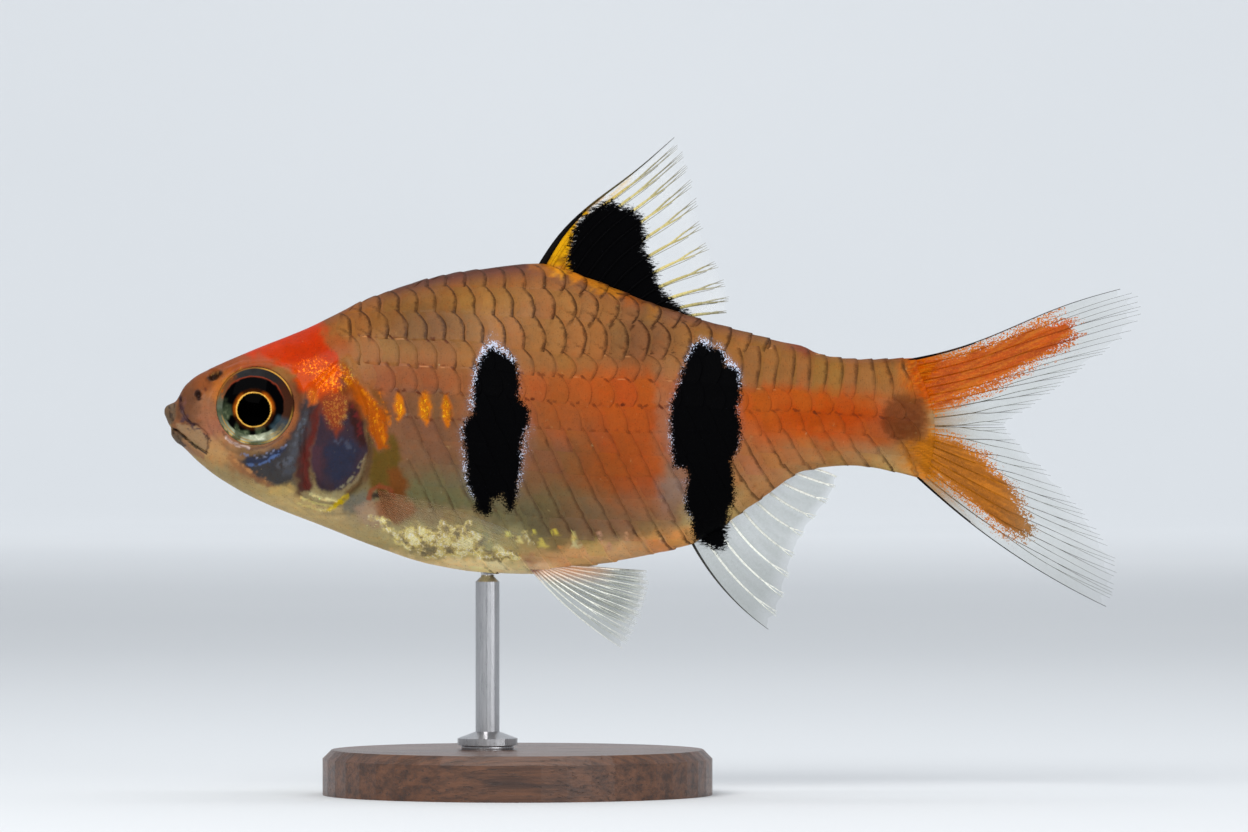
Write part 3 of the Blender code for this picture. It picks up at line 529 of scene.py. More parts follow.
def tailTint(x, z, ray):
    px, py = toPicture(x, z)
    colours = plain(len(x), *((92, 92, 84) if ray else (152, 158, 148)))
    turn = np.degrees(np.arctan2(py - 424, px - 880))
    streak = softNoise(turn / 1.5, px * 0.012, 1.0, 51) - 0.5
    fineStreak = softNoise(turn / 0.6, px * 0.05, 1.0, 52) - 0.5
    grain = softNoise(x, z, 0.12, 53) - 0.5
    wild = 0.5 * streak + 0.5 * fineStreak
    away = np.minimum(distanceToShape(x, z, tailUpper), distanceToShape(x, z, tailLower)) + wild
    low = smoothStep(418, 432, py)
    root = smoothStep(996, 918, px + 30 * wild)
    colours = blend(colours, srgb(152, 108, 52), root * (0.6 if ray else 0.95))
    core = srgb(170, 69, 0) * (1 - low[:, None]) + srgb(150, 86, 8) * low[:, None]
    pigment = core * (1 + 0.25 * streak + 0.45 * fineStreak + 0.3 * grain)[:, None]
    pigment = blend(pigment, srgb(200, 118, 34), smoothStep(-0.75, 0.05, away) * 0.6)
    bright = smoothStep(0.58, 0.75, softNoise(turn / 0.8, px * 0.03, 1.0, 55))
    pigment = blend(pigment, srgb(206, 124, 24), bright * 0.4)
    end = smoothStep(990, 1044, px) * low
    pigment = blend(pigment, srgb(138, 108, 70), end * 0.75)
    brown, spot = srgb(*skinColours["tailSpot"][-1]), smoothStep(1.3, 0.8, spotAway(px, py)) * 0.9
    pigment = blend(pigment, brown, spot)
    colours = blend(colours, brown, spot)
    tip = smoothStep(1026, 1080, px) * (1 - low)
    away = away + end * (0.6 + 1.3 * grain) + tip * (0.3 + 1.2 * grain)
    if ray:
        colours = blend(colours, pigment, smoothStep(0.3, -0.1, away)) * 0.88
        return colours, np.ones(len(x)), pigment, farAway(x)
    return colours, 0.24 + 0.8 * root, pigment, away


def skinTint(x, z):
    px, py = toPicture(x, z)

    def bent(value, broad, broadSize, broadSeed, fine, fineSize, fineSeed):
        return (value + broad * (softNoise(x, z, broadSize, broadSeed) - 0.5)
                + fine * (softNoise(x, z, fineSize, fineSeed) - 0.5))

    # a little out of line for small marks, and more for broad patches
    plainX, plainY = bent(px, 1.6, 0.3, 21, 1.4, 0.12, 23), bent(py, 1.6, 0.3, 22, 1.4, 0.12, 24)
    bentX, bentY = bent(px, 8, 1.3, 1, 7, 0.35, 2), bent(py, 8, 1.3, 3, 7, 0.35, 4)
    specks = smoothStep(0.42, 0.62, 0.6 * softNoise(x, z, 0.16, 25) + 0.4 * softNoise(x, z, 0.4, 26))
    low, high = belly(x), back(x)
    share = np.clip((z - low) / np.maximum(high - low, 0.1), 0, 1)
    stops = skinColours["heights"]
    colours = np.stack([np.interp(share, [s[0] for s in stops], [srgb(*s[1])[c] for s in stops])
                        for c in range(3)], -1)
    for _, cx, cy, rx, ry, tilt, colour, strength, *soft in skinColours["patches"]:
        soft = soft[0] if soft else 0.7
        c, s = math.cos(math.radians(tilt)), math.sin(math.radians(tilt))
        u = ((bentX - cx) * c + (bentY - cy) * s) / rx
        v = (-(bentX - cx) * s + (bentY - cy) * c) / ry
        colours = blend(colours, srgb(*colour), strength * smoothStep(1 + soft, 1 - soft, np.hypot(u, v)))
    for _, soft, colour, strength, outline in skinColours["regions"]:
        warp = np.clip(soft / 8.0, 0.1, 0.8)
        rx, ry = plainX + warp * (bentX - px), plainY + warp * (bentY - py)
        xs, ys = np.array(outline).T
        near = (px > xs.min() - 16) & (px < xs.max() + 16) & (py > ys.min() - 16) & (py < ys.max() + 16)
        weight = np.zeros(len(px))
        weight[near] = smoothStep(0.7 * soft, -0.7 * soft, distanceToShape(rx[near], ry[near], outline))
        colours = blend(colours, srgb(*colour), strength * weight)
    for _, width, colour, strength, broken, line in skinColours["streaks"]:
        away = distanceToLine(plainX, plainY, line)
        weight = strength * smoothStep(1.5 * width + 0.3, 0.5 * width, away)
        colours = blend(colours, srgb(*colour), weight * (specks if broken else 1.0))
    for (cx, cy), tall, wide, colour in skinColours["tips"]:
        down = (plainY - cy) / tall + 0.5
        across = np.abs(plainX - cx - 2.0 * (down - 0.5)) / (0.5 * wide * np.clip(down, 0.05, 1.0))
        weight = smoothStep(1.3, 0.7, across) * smoothStep(-0.1, 0.15, down) * smoothStep(1.2, 0.9, down)
        colours = blend(colours, srgb(*colour), 0.85 * weight)
    spot = spotAway(plainX, plainY) + 0.2 * (specks - 0.5)
    brown = srgb(*skinColours["tailSpot"][-1])
    colours = blend(colours, brown, 0.93 * smoothStep(1.3, 0.75, spot) * (0.85 + 0.15 * specks))
    # the tail's colours begin on its root; on the skin they are painted a little lighter, against its dark
    # dots and partly as painted light against the shade of its curving end
    tail, _, pigment, away = tailTint(x, z, False)
    tail = blend(tail, pigment, smoothStep(0.3, -0.2, away + 0.5 * (specks - 0.5)))
    onTail = smoothStep(894, 926, px + 10 * (specks - 0.5)) * smoothStep(0.9, 1.3, spot)
    return blend(colours, tail * 1.12, onTail)


def barDistance(x, z):
    away = np.minimum(*[distanceToShape(x, z, shape) for shape in barShapes])
    return np.clip(away, -clearDistance, clearDistance)


def fringeStrength(x, z):
    best = np.zeros(np.shape(x))
    for outline, strength in bars["fringe"]:
        away = distanceToShape(x, z, outlineFrom(outline))
        best = np.maximum(best, strength * smoothStep(0.1, -bars["fringeEdge"], away))
    return best


def ellipseAway(x, z, px, py, rx, ry):
    # 0 in the middle of an ellipse of the picture and 1 on its edge
    cx, cz = fromPicture(px, py)
    return np.hypot((x - cx) / (rx / picture["pixelsPerMm"]), (z - cz) / (ry / picture["pixelsPerMm"]))


def strongest(x, z, spots, none, full):
    best = np.zeros(np.shape(x))
    for *ellipse, strength in spots:
        best = np.maximum(best, strength * smoothStep(none, full, ellipseAway(x, z, *ellipse)))
    return best


def foilStrength(x, z):
    bentX = x + 1.1 * (softNoise(x, z, 0.7, 71) - 0.5)
    bentZ = z + 0.9 * (softNoise(x, z, 0.6, 72) - 0.5)
    return strongest(bentX, bentZ, foil, 1.3, 0.6)


def addMarkings(made, points, vary=1.0):
    x, z = points[:, 0], points[:, 2]
    addValues(made, "tint", skinTint(x, z) * vary)
    addValues(made, "bar", barDistance(x, z))
    addValues(made, "fringe", fringeStrength(x, z))
    addValues(made, "glitter", strongest(x, z, glitter, 1.1, 0.5))
    addValues(made, "foil", foilStrength(x, z))


print("stage: materials")
inkBlack = (0.0006, 0.0006, 0.0009, 1)


def connect(tree, made, inputs):
    for key, value in inputs.items():
        socket = made.inputs[key]
        if isinstance(value, bpy.types.NodeSocket):
            tree.links.new(value, socket)
        else:
            socket.default_value = value


def node(tree, kind, inputs=None, **settings):
    made = tree.nodes.new(kind)
    for key, value in settings.items():
        setattr(made, key, value)
    connect(tree, made, inputs or {})
    return made


def maths(tree, operation, a, b=0.0, c=0.0, clamp=False):
    return node(tree, "ShaderNodeMath", {0: a, 1: b, 2: c}, operation=operation, use_clamp=clamp).outputs[0]


def times(tree, a, b, clamp=False):
    return maths(tree, "MULTIPLY", a, b, clamp=clamp)


def timesPlus(tree, a, b, c, clamp=False):
    return maths(tree, "MULTIPLY_ADD", a, b, c, clamp)


def minus(tree, a, b):
    return maths(tree, "SUBTRACT", a, b)


def mapped(tree, value, low, high, toLow=0.0, toHigh=1.0):
    return node(tree, "ShaderNodeMapRange", {0: value, 1: low, 2: high, 3: toLow, 4: toHigh},
                interpolation_type="SMOOTHSTEP").outputs[0]


def mixed(tree, share, a, b, way="MIX"):
    return node(tree, "ShaderNodeMix", {0: share, 6: a, 7: b}, data_type="RGBA", blend_type=way).outputs[2]


def shaded(tree, colour, level):
    # a colour times a grey level
    grey = node(tree, "ShaderNodeCombineColor", {0: level, 1: level, 2: level}).outputs[0]
    return mixed(tree, 1.0, colour, grey, "MULTIPLY")


def stretched(tree, place, scale, turn=0.0):
    return node(tree, "ShaderNodeMapping", {"Vector": place, "Rotation": (0, math.radians(turn), 0),
                                            "Scale": scale}).outputs[0]


def rgba(*colour):
    r, g, b = srgb(*colour)
    return (r, g, b, 1.0)


def noise(tree, place, scale, detail=2.0, roughness=0.5):
    return node(tree, "ShaderNodeTexNoise", {"Vector": place, "Scale": scale, "Detail": detail,
                                             "Roughness": roughness}).outputs[0]


def cells(tree, place, scale):
    return node(tree, "ShaderNodeTexVoronoi", {"Vector": place, "Scale": scale})


def randomOf(tree, cell):
    return node(tree, "ShaderNodeSeparateColor", {0: cell.outputs["Color"]}).outputs[0]


def inMillimetres(tree):
    place = node(tree, "ShaderNodeTexCoord").outputs["Object"]
    return node(tree, "ShaderNodeVectorMath", {0: place, "Scale": 1000.0}, operation="SCALE").outputs[0]


def newGroup(name, inputs, outputs):
    tree = bpy.data.node_groups.new(name, "ShaderNodeTree")
    for title, start in inputs.items():
        kind = "NodeSocketColor" if isinstance(start, tuple) else "NodeSocketFloat"
        tree.interface.new_socket(title, in_out="INPUT", socket_type=kind).default_value = start
    for title in outputs:
        kind = "NodeSocketColor" if title == "Color" else "NodeSocketFloat"
        tree.interface.new_socket(title, in_out="OUTPUT", socket_type=kind)
    return tree, tree.nodes.new("NodeGroupInput").outputs, tree.nodes.new("NodeGroupOutput")


def newMaterial(name):
    made = bpy.data.materials.new(name)
    made.use_nodes = True
    tree = made.node_tree
    return made, tree, next(n for n in tree.nodes if n.type == "BSDF_PRINCIPLED")


def attribute(tree, name, output="Fac"):
    return node(tree, "ShaderNodeAttribute", attribute_name=name).outputs[output]


def addBump(tree, shader, height, distance, strength=1.0):
    bump = node(tree, "ShaderNodeBump", {"Height": height, "Distance": distance, "Strength": strength})
    tree.links.new(bump.outputs[0], shader.inputs["Normal"])


def makeSkinMarks():
    # mottling, black bars with ragged edges, pale speckles beside them, metallic flecks painted brighter as
    # glints, and the belly's foil with painted reflection
    tree, given, out = newGroup(
        "skinMarks", {"Tint": (1, 1, 1, 1), "Bar": clearDistance, "Fringe": 0.0, "Glitter": 0.0,
                      "Foil": 0.0, "Mottle": 0.3, "Dots": 0.4},
        ("Color", "Roughness", "Metallic", "Height", "Coat"))
    place = inMillimetres(tree)
    cloud = noise(tree, place, 1.4, 4.0, 0.6)
    fine = noise(tree, place, 6.0, 3.0, 0.6)
    shade = maths(tree, "ADD", times(tree, cloud, 1.2), times(tree, fine, 0.8))
    shade = minus(tree, shade, 1.0)
    shade = timesPlus(tree, shade, given["Mottle"], 1.0)
    colour = shaded(tree, given["Tint"], shade)
    warm = noise(tree, place, 2.3, 3.0, 0.6)
    for end, cast in ((0.75, (1.08, 0.95, 0.86, 1)), (0.25, (0.93, 0.99, 1.1, 1))):
        colour = mixed(tree, mapped(tree, warm, 0.5, end), colour, mixed(tree, 1.0, colour, cast, "MULTIPLY"))
    pigment = cells(tree, place, 7.0)
    dot = times(tree, mapped(tree, pigment.outputs["Distance"], 0.42, 0.18),
                mapped(tree, randomOf(tree, pigment), 0.55, 0.75))
    dot = times(tree, dot, given["Dots"])
    colour = mixed(tree, dot, colour, rgba(60, 34, 20))
    # flecks, painted brighter than the skin: painted glints on its shining flecks
    bent = node(tree, "ShaderNodeTexNoise", {"Vector": place, "Scale": 5.0, "Detail": 2.0}).outputs["Color"]
    bent = node(tree, "ShaderNodeVectorMath", {0: bent, 1: (0.3, 0.3, 0.3), 2: place},
                operation="MULTIPLY_ADD").outputs[0]
    fleck = noise(tree, stretched(tree, bent, (1.0, 1.0, 0.65)), 7.0, 4.0, 0.75)
    chance = timesPlus(tree, given["Glitter"], -0.27, 0.75)
    lit = mapped(tree, minus(tree, fleck, chance), 0.0, 0.07)
    own = mixed(tree, 1.0, given["Tint"], (1.9, 3.5, 2.1, 1), "MULTIPLY")
    colour = mixed(tree, times(tree, lit, 0.85), colour, own)
    # the belly's foil: soft patches from olive to gold, partly the skin's own metallic colour and partly
    # painted reflection, under thin white streaks of painted highlight
    patch = noise(tree, stretched(tree, bent, (1.0, 1.0, 0.75)), 1.5, 4.0, 0.55)
    patch = maths(tree, "ADD", patch, mapped(tree, given["Foil"], 0.95, 1.35, 0.0, 0.13))
    ramp = node(tree, "ShaderNodeValToRGB", {0: patch})
    stops = ramp.color_ramp.elements
    for position, shade in ((0.36, (136, 126, 96)), (0.44, (166, 148, 104)), (0.5, (204, 182, 112)),
                            (0.56, (232, 212, 130)), (0.64, (250, 238, 176))):
        stop = stops.new(position)
        stop.color = rgba(*shade)
    stops.remove(stops[0])
    stops.remove(stops[-1])
    # thin near-white streaks: painted highlight on the foil
    highlightStreak = 0.0
    for turn, side in ((8, 1.0), (58, 0.9)):
        drawn = stretched(tree, bent, (5.0 * side, 5.0, 0.8), turn)
        line = mapped(tree, noise(tree, drawn, 1.3, 3.0, 0.6), 0.56, 0.66)
        highlightStreak = maths(tree, "MAXIMUM", highlightStreak, line)
    highlightStreak = times(tree, highlightStreak, mapped(tree, patch, 0.42, 0.54))
    flake = timesPlus(tree, highlightStreak, 0.5, patch)
    gold = mixed(tree, times(tree, highlightStreak, 0.85), ramp.outputs[0], rgba(255, 250, 230))
    shine = timesPlus(tree, minus(tree, noise(tree, place, 1.6, 4.0, 0.65), 0.5), 1.5,
                  given["Foil"])
    shine = mapped(tree, shine, 0.22, 0.8)
    colour = mixed(tree, times(tree, shine, 0.95), colour, gold)
    # pale speckles
    speck = cells(tree, place, 15.0)
    pale = maths(tree, "ADD", times(tree, randomOf(tree, speck), 0.42),
                 times(tree, noise(tree, place, 8.0, 5.0, 0.85), 0.6))
    close = timesPlus(tree, mapped(tree, given["Bar"], 0.8, 0.05), 0.62, 0.38)
    patchy = timesPlus(tree, noise(tree, place, 1.8, 3.0, 0.6), 2.8, -0.42)
    share = times(tree, times(tree, given["Fringe"], close), patchy)
    level = timesPlus(tree, share, -0.3, 0.8)
    speckled = mapped(tree, minus(tree, pale, level), -0.05, 0.09)
    speckled = times(tree, speckled, mapped(tree, share, 0.03, 0.14))
    blueWhite = mixed(tree, mapped(tree, share, 0.3, 0.85), rgba(150, 144, 150), rgba(206, 218, 242))
    colour = mixed(tree, times(tree, share, 0.3, clamp=True), colour, rgba(128, 122, 130))
    colour = mixed(tree, times(tree, speckled, 0.9), colour, blueWhite)
    # bars
    ragged = minus(tree, noise(tree, place, 6.5, 6.0, 0.85), 0.5)
    edge = timesPlus(tree, ragged, 0.85, given["Bar"])
    grain = timesPlus(tree, minus(tree, randomOf(tree, speck), 0.5), 0.34, edge)
    black = mapped(tree, grain, 0.12, -0.09)
    colour = mixed(tree, black, colour, inkBlack)
    bright = maths(tree, "MAXIMUM", lit, shine)
    rough = timesPlus(tree, bright, -0.12, timesPlus(tree, fine, 0.2, 0.3))
    height = timesPlus(tree, maths(tree, "ADD", lit, speckled), 0.5, fine)
    height = timesPlus(tree, times(tree, shine, flake), 0.5, height)
    connect(tree, out, {"Color": colour, "Roughness": timesPlus(tree, black, 0.16, rough),
                        "Metallic": times(tree, bright, 0.3), "Height": height,
                        "Coat": timesPlus(tree, black, -0.07, 0.07)})
    return tree


skinMarks = makeSkinMarks()


def placeMarks(tree, tint, mottle, dots):
    given = {"Tint": tint, "Mottle": mottle, "Dots": dots}
    for title in ("Bar", "Fringe", "Glitter", "Foil"):
        given[title] = attribute(tree, title.lower())
    return node(tree, "ShaderNodeGroup", given, node_tree=skinMarks).outputs


def finishWithMarks(tree, shader, marks):
    connect(tree, shader, {"Base Color": marks["Color"], "Roughness": marks["Roughness"],
                           "Metallic": marks["Metallic"], "Coat Weight": marks["Coat"],
                           "Coat Roughness": 0.2, "Specular IOR Level": 0.02})


def makeSkinMaterial():
    made, tree, shader = newMaterial("wetSkin")
    marks = placeMarks(tree, attribute(tree, "tint", "Color"), 0.35, 0.3)
    finishWithMarks(tree, shader, marks)
    addBump(tree, shader, marks["Height"], 0.00003, 0.5)
    return made


def makeScaleMaterial():
    # adds to the marks a dark rear rim with painted shade behind it on the next scale, painted light just
    # before the rim, growth rings and each scale's own tone
    made, tree, shader = newMaterial("scaleHorn")
    place = inMillimetres(tree)
    edge, line = attribute(tree, "edge"), attribute(tree, "line")
    across, tone = attribute(tree, "across"), attribute(tree, "tone")
    mark, dash = attribute(tree, "mark"), attribute(tree, "dash")
    wobble = noise(tree, place, 3.0, 3.0, 0.7)
    fine = noise(tree, place, 9.0, 3.0)
    broad = noise(tree, place, 1.1, 3.0, 0.6)
    width = timesPlus(tree, wobble, 0.46, -0.06)
    rim = mapped(tree, maths(tree, "DIVIDE", edge, width), 1.9, 0.4)
    rim = times(tree, rim, timesPlus(tree, fine, 1.3, 0.3, clamp=True))
    rim = times(tree, rim, mapped(tree, broad, 0.36, 0.54, 0.45, 1.0))
    # the neighbours' rims seen through
    through = mapped(tree, maths(tree, "DIVIDE", attribute(tree, "cross"), width), 1.1, 0.3)
    through = times(tree, through, attribute(tree, "crossed"))
    through = times(tree, through, timesPlus(tree, fine, 0.9, 0.4, clamp=True))
    rim = maths(tree, "MAXIMUM", rim, through)
    # dark brown painted shade on the next scale, behind the lower half of a rim
    under = times(tree, mapped(tree, edge, 0.85, 1.35),
                  mapped(tree, maths(tree, "ABSOLUTE", maths(tree, "ADD", across, 0.2)), 0.6, 0.2))
    under = times(tree, under, mapped(tree, wobble, 0.42, 0.64))
    under = times(tree, under, 0.62)
    # small dark marks at the corners of the rows along the flank's middle
    wild = times(tree, minus(tree, noise(tree, place, 4.0, 5.0, 0.75), 0.5), 0.75)
    corner = 0.0
    for at, high, name in ((0.12, 0.69, "mark"), (0.82, -0.72, "markLow")):
        away = times(tree, minus(tree, across, high), 1.4)
        away = node(tree, "ShaderNodeCombineXYZ", {0: minus(tree, edge, at), 1: away}).outputs[0]
        away = node(tree, "ShaderNodeVectorMath", {0: away}, operation="LENGTH").outputs["Value"]
        star = mapped(tree, maths(tree, "ADD", away, wild), 0.22, 0.08)
        corner = maths(tree, "MAXIMUM", corner, times(tree, star, attribute(tree, name)))
    strip = maths(tree, "ABSOLUTE", minus(tree, across, 0.7))
    strip = times(tree, mapped(tree, strip, 0.05, 0.02), mapped(tree, edge, 0.2, 0.4))
    strip = times(tree, strip, mapped(tree, edge, 1.1, 0.8))
    strip = times(tree, times(tree, strip, dash), mapped(tree, broad, 0.45, 0.55))
    # the rim's own dark line together with the painted shade behind it
    dark = times(tree, maths(tree, "MAXIMUM", rim, under), line)
    # each scale's own tone, then painted light just before its rear rim, fading to painted shade towards its
    # covered front
    level = timesPlus(tree, tone, 0.08, 0.95)
    pale = times(tree, mapped(tree, edge, 0.1, 0.2), mapped(tree, edge, 1.3, 0.3))
    pale = times(tree, pale, line)
    level = timesPlus(tree, pale, 0.12, level)
    rings = maths(tree, "SINE", times(tree, edge, 70.0))
    level = timesPlus(tree, rings, 0.015, level)
    tint = shaded(tree, attribute(tree, "tint", "Color"), level)
    tint = mixed(tree, times(tree, dark, 0.86), tint, rgba(58, 32, 16))
    tint = mixed(tree, times(tree, corner, 0.85), tint, rgba(82, 32, 14))
    tint = mixed(tree, times(tree, strip, 0.5), tint, rgba(214, 150, 96))
    marks = placeMarks(tree, tint, 0.26, 0.25)
    finishWithMarks(tree, shader, marks)
    height = timesPlus(tree, rings, 0.25, marks["Height"])
    addBump(tree, shader, height, 0.00003, 0.5)
    return made


wetSkin = makeSkinMaterial()
scaleHorn = makeScaleMaterial()

print("stage: skin")
eye = {"pixel": (256.8, 406), "pupilPixel": (255.6, 409.7), "irisPixel": (254.7, 406),
       "centre": fromPicture(256.8, 406), "radius": 2.58, "rimY": 2.42, "tiltZ": -0.13, "tiltX": 0.10,
       "bulge": 0.66, "sunk": 0.1, "pupil": fromPicture(255.4, 409.5), "pupilRadius": 1.12,
       "rings": 60, "spokes": 128}

skin = {
    "columns": 300, "flankShare": 0.2,
    "rows": [(0.0, 0.04), (0.8, 0.06), (3.2, 0.075), (16.6, 0.16), (24.0, 0.4), (46.0, 0.2), (50.0, 0.2)],
    "upperJaw": [(181, 400), (181.8, 407.4), (184, 413.6), (187.9, 419.7), (192.5, 424.3), (197.8, 425.8),
                 (204, 430.4), (208.6, 435), (209.5, 446)],
    "nostrils": [((215.3, 376.2), 0.42, 0.3), ((199.4, 395.2), 0.26, 0.24)],
    "preopercle": [(312, 388), (303, 412), (303, 446), (312, 476), (330, 494)],
    "gillCover": [(339, 368), (318, 388), (308, 430), (304.5, 475), (315, 500.5), (339, 503.5), (360, 485.5),
                  (371, 451), (369, 409), (357, 379)],
    "gillGrooves": [[(286, 486), (318, 507), (352, 506)], [(280, 494), (312, 516), (352, 515)]],
    "shoulder": [(350, 362), (366, 400), (386, 446), (396, 486), (390, 512)],
    "browGroove": [(228, 366), (244, 360), (270, 359), (296, 372)],
}
mouthLine = outlineFrom(mouthPixels)


def ridge(away, width):
    return np.exp(-(away / width) ** 2)


def headRelief(x, z):
    # how far the skin stands out, in millimetres
    out = np.zeros(np.shape(x))
    near = x < 26
    hx, hz = x[near], z[near]

    def beside(line, width):
        return ridge(distanceToLine(hx, hz, outlineFrom(line)), width)

    away = distanceToLine(hx, hz, mouthLine)
    lineZ = np.interp(hx, [p[0] for p in mouthLine], [p[1] for p in mouthLine])
    inMouth = smoothStep(3.3, 2.6, hx)
    above = hz > lineZ
    lip = ridge(distanceToLine(hx, hz, [(px, pz + 0.36) for px, pz in mouthLine]), 0.3) * 0.07
    low = ridge(distanceToLine(hx, hz, [(px, pz - 0.3) for px, pz in mouthLine]), 0.24) * 0.07
    made = (lip * above + low * ~above) * inMouth - 0.22 * ridge(away, 0.075)
    made -= 0.16 * beside(skin["upperJaw"], 0.09)
    for (px, py), radius, depth in skin["nostrils"]:
        cx, cz = fromPicture(px, py)
        r = np.hypot(hx - cx, (hz - cz) * 1.15) / radius
        made += -depth * smoothStep(1.0, 0.55, r) + 0.07 * ridge(r - 1.25, 0.25)
    r = np.hypot(hx - eye["centre"][0], hz - eye["centre"][1])
    made -= 0.05 * ridge(r - 3.45, 0.12) * smoothStep(1.0, -1.0, hz)
    made += 0.06 * ridge(r - 3.05, 0.25)
    made -= 0.07 * beside(skin["browGroove"], 0.12)
    made -= 0.16 * beside(skin["preopercle"], 0.16)
    gill = distanceToShape(hx, hz, outlineFrom(skin["gillCover"]))
    made += 0.2 * smoothStep(0.1, -0.12, gill) - 0.08 * ridge(gill - 0.22, 0.16)
    made -= 0.05 * ridge(gill + 0.55, 0.1) * smoothStep(11.5, 12.5, hx)
    for line in skin["gillGrooves"]:
        made -= 0.07 * beside(line, 0.1)
    made += 0.12 * beside(skin["shoulder"], 0.35)
    made += 0.02 * (softNoise(hx, hz, 0.5, 7) - 0.5) + 0.03 * (softNoise(hx, hz, 1.4, 8) - 0.5)
    out[near] = made
    return out


def rimPlane(x, z):
    cx, cz = eye["centre"]
    return eye["rimY"] + eye["tiltZ"] * (z - cz) + eye["tiltX"] * (x - cx)


def makeSkin():
    xs = []
    for (start, step), (end, _) in zip(skin["rows"], skin["rows"][1:]):
        xs += list(np.linspace(start, end, int(round((end - start) / step)), endpoint=False))
    xs = np.array(xs + [skin["rows"][-1][0]])
    angles = np.linspace(0, 2 * math.pi, skin["columns"], endpoint=False)
    angles = angles + skin["flankShare"] * np.sin(2 * angles)
    points = bodyPoint(xs[:, None], angles[None, :])
    alongX = np.gradient(points, axis=0)
    around = np.roll(points, -1, 1) - np.roll(points, 1, 1)
    normals = np.cross(around, alongX)
    normals /= np.maximum(np.linalg.norm(normals, axis=-1, keepdims=True), 1e-9)
    outward = points[..., 1:2] * normals[..., 1:2] + (points[..., 2:3] - 0.5) * normals[..., 2:3]
    normals *= np.where(outward.mean() < 0, -1, 1)
    x, z = points[..., 0], points[..., 2]
    relief = headRelief(x, z) * smoothStep(0.0, 0.35, np.abs(points[..., 1]) + 0.12)
    points = points + normals * relief[..., None]
    # the eye sockets
    side = np.sign(points[..., 1])
    r = np.hypot(x - eye["centre"][0], z - eye["centre"][1])
    rim = rimPlane(x, z)
    hollow = rim + 0.03 - 0.95 * smoothStep(eye["radius"] + 0.02, eye["radius"] - 0.14, r)
    near = smoothStep(eye["radius"] + 0.85, eye["radius"] + 0.12, r) * (np.abs(points[..., 1]) > 0.8)
    y = points[..., 1]
    points[..., 1] = y + near * (side * hollow - y)
    rows, columns = points.shape[:2]
    vertices = points.reshape(-1, 3)
    faces = gridFaces(rows, columns, wrap=True)
    nose = len(vertices)
    tip = points[-1].copy()
    tip[:, 0] += 0.12
    tip[:, 1] *= 0.1
    vertices = np.vstack([vertices, [[-0.03, 0.0, 0.05]], tip])
    faces += [(nose, (j + 1) % columns, j) for j in range(columns)]
    last = (rows - 1) * columns
    for j in range(columns):
        k = (j + 1) % columns
        faces.append((last + j, last + k, nose + 1 + k, nose + 1 + j))
    faces = [f[::-1] for f in faces]
    made = addObject("skin", vertices, faces, [wetSkin])
    addMarkings(made, vertices)
    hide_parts("head", "trunk", "tail_stalk", "gill_cover_left", "gill_cover_right")
    return made


makeSkin()

print("stage: scales")
scales = {
    # height of the fine line along the flank from which the rows are counted
    "line": [(10.0, 3.5), (12.3, 3.33), (17, 3.07), (20, 2.93), (24.3, 2.53), (30.3, 2.13), (35.7, 2.0),
             (38.7, 1.6), (42.3, 1.4), (46.3, 1.07), (49, 0.8), (52, 0.65)],
    "pitchUp": [(10, 1.25), (22, 1.3), (26, 1.4), (36, 1.36), (42, 1.07), (52, 1.0)],
    "pitchDown": [(10, 1.35), (22, 1.45), (36, 1.5), (42, 1.38), (52, 1.3)],
    # heights of the rows, from the line upwards and from the line downwards; the last is kept for the rest
    "rowsUp": [[(10, 1.9), (19, 1.8), (29.4, 1.55), (34, 1.7), (40, 2.9), (46, 2.8), (52, 2.6)],
               [(10, 2.0), (19, 2.0), (29.4, 2.5), (34, 2.3), (52, 2.3)], [(10, 2.1), (52, 2.1)]],
    "rowsDown": [[(10, 1.75), (36, 1.7), (42, 1.33), (52, 1.3)],
                 [(10, 1.75), (36, 1.7), (42, 1.3), (52, 1.3)],
                 [(10, 1.5), (36, 1.5), (43, 1.17), (52, 1.15)]],
    # how far a rear rim falls back above and below its most rearward place
    "sagTop": [(10, 0.46), (24, 0.46), (28, 0.56), (34, 0.54), (39, 0.3), (52, 0.3)],
    "sagLow": [(10, 0.03), (23, 0.05), (28, 0.3), (34, 0.3), (39, 0.14), (46, 0.12), (52, 0.05)],
    "sagMiddle": [(10, -0.2), (23, -0.2), (28, 0.0), (34, 0.1), (39, 0.45), (52, 0.3)],
    "front": [(-9.5, 20.0), (-8.0, 18.0), (-6.5, 16.6), (-4, 16.0), (-1, 15.2), (2, 14.2), (4.0, 12.4),
              (5.5, 11.4), (8.0, 11.4)],
    "length": 2.3, "overlap": 1.4, "sink": 0.13, "lift": 0.07, "skirt": 0.09,
    "along": [0.0, 0.3, 0.5, 0.6, 0.68, 0.75, 0.81, 0.86, 0.91, 0.95, 0.98, 1.0], "across": 16,
    "maxUp": 13.0, "maxDown": 17.0, "gridX": 0.2, "gridUp": 0.1,
    # strengths of the dark corner marks by row, at the top and at the foot of a scale
    "marks": {"nape": ({0: 1.0, -1: 0.8, -2: 1.0, -3: 0.7}, {1: 0.8, 0: 0.7, -1: 1.0, -2: 0.6}),
              "flank": ({0: 0.1, -1: 0.8, -2: 1.0, -3: 0.7}, {0: 0.7, -1: 1.0, -2: 0.6}),
              "stalk": ({0: 0.15, -1: 0.25, -2: 0.9, -3: 0.15}, {-1: 0.5})},
    "vary": (0.05, 0.06, 0.12),  # how far one scale's colour may differ, in red, green and blue
    "mapStart": (9.0, -12.6), "mapSize": (43.5, 23.5), "mapEdge": 0.04,
}
rowLine = smoothCurve(scales["line"])
pitchUp = smoothCurve(scales["pitchUp"])
pitchDown = smoothCurve(scales["pitchDown"])
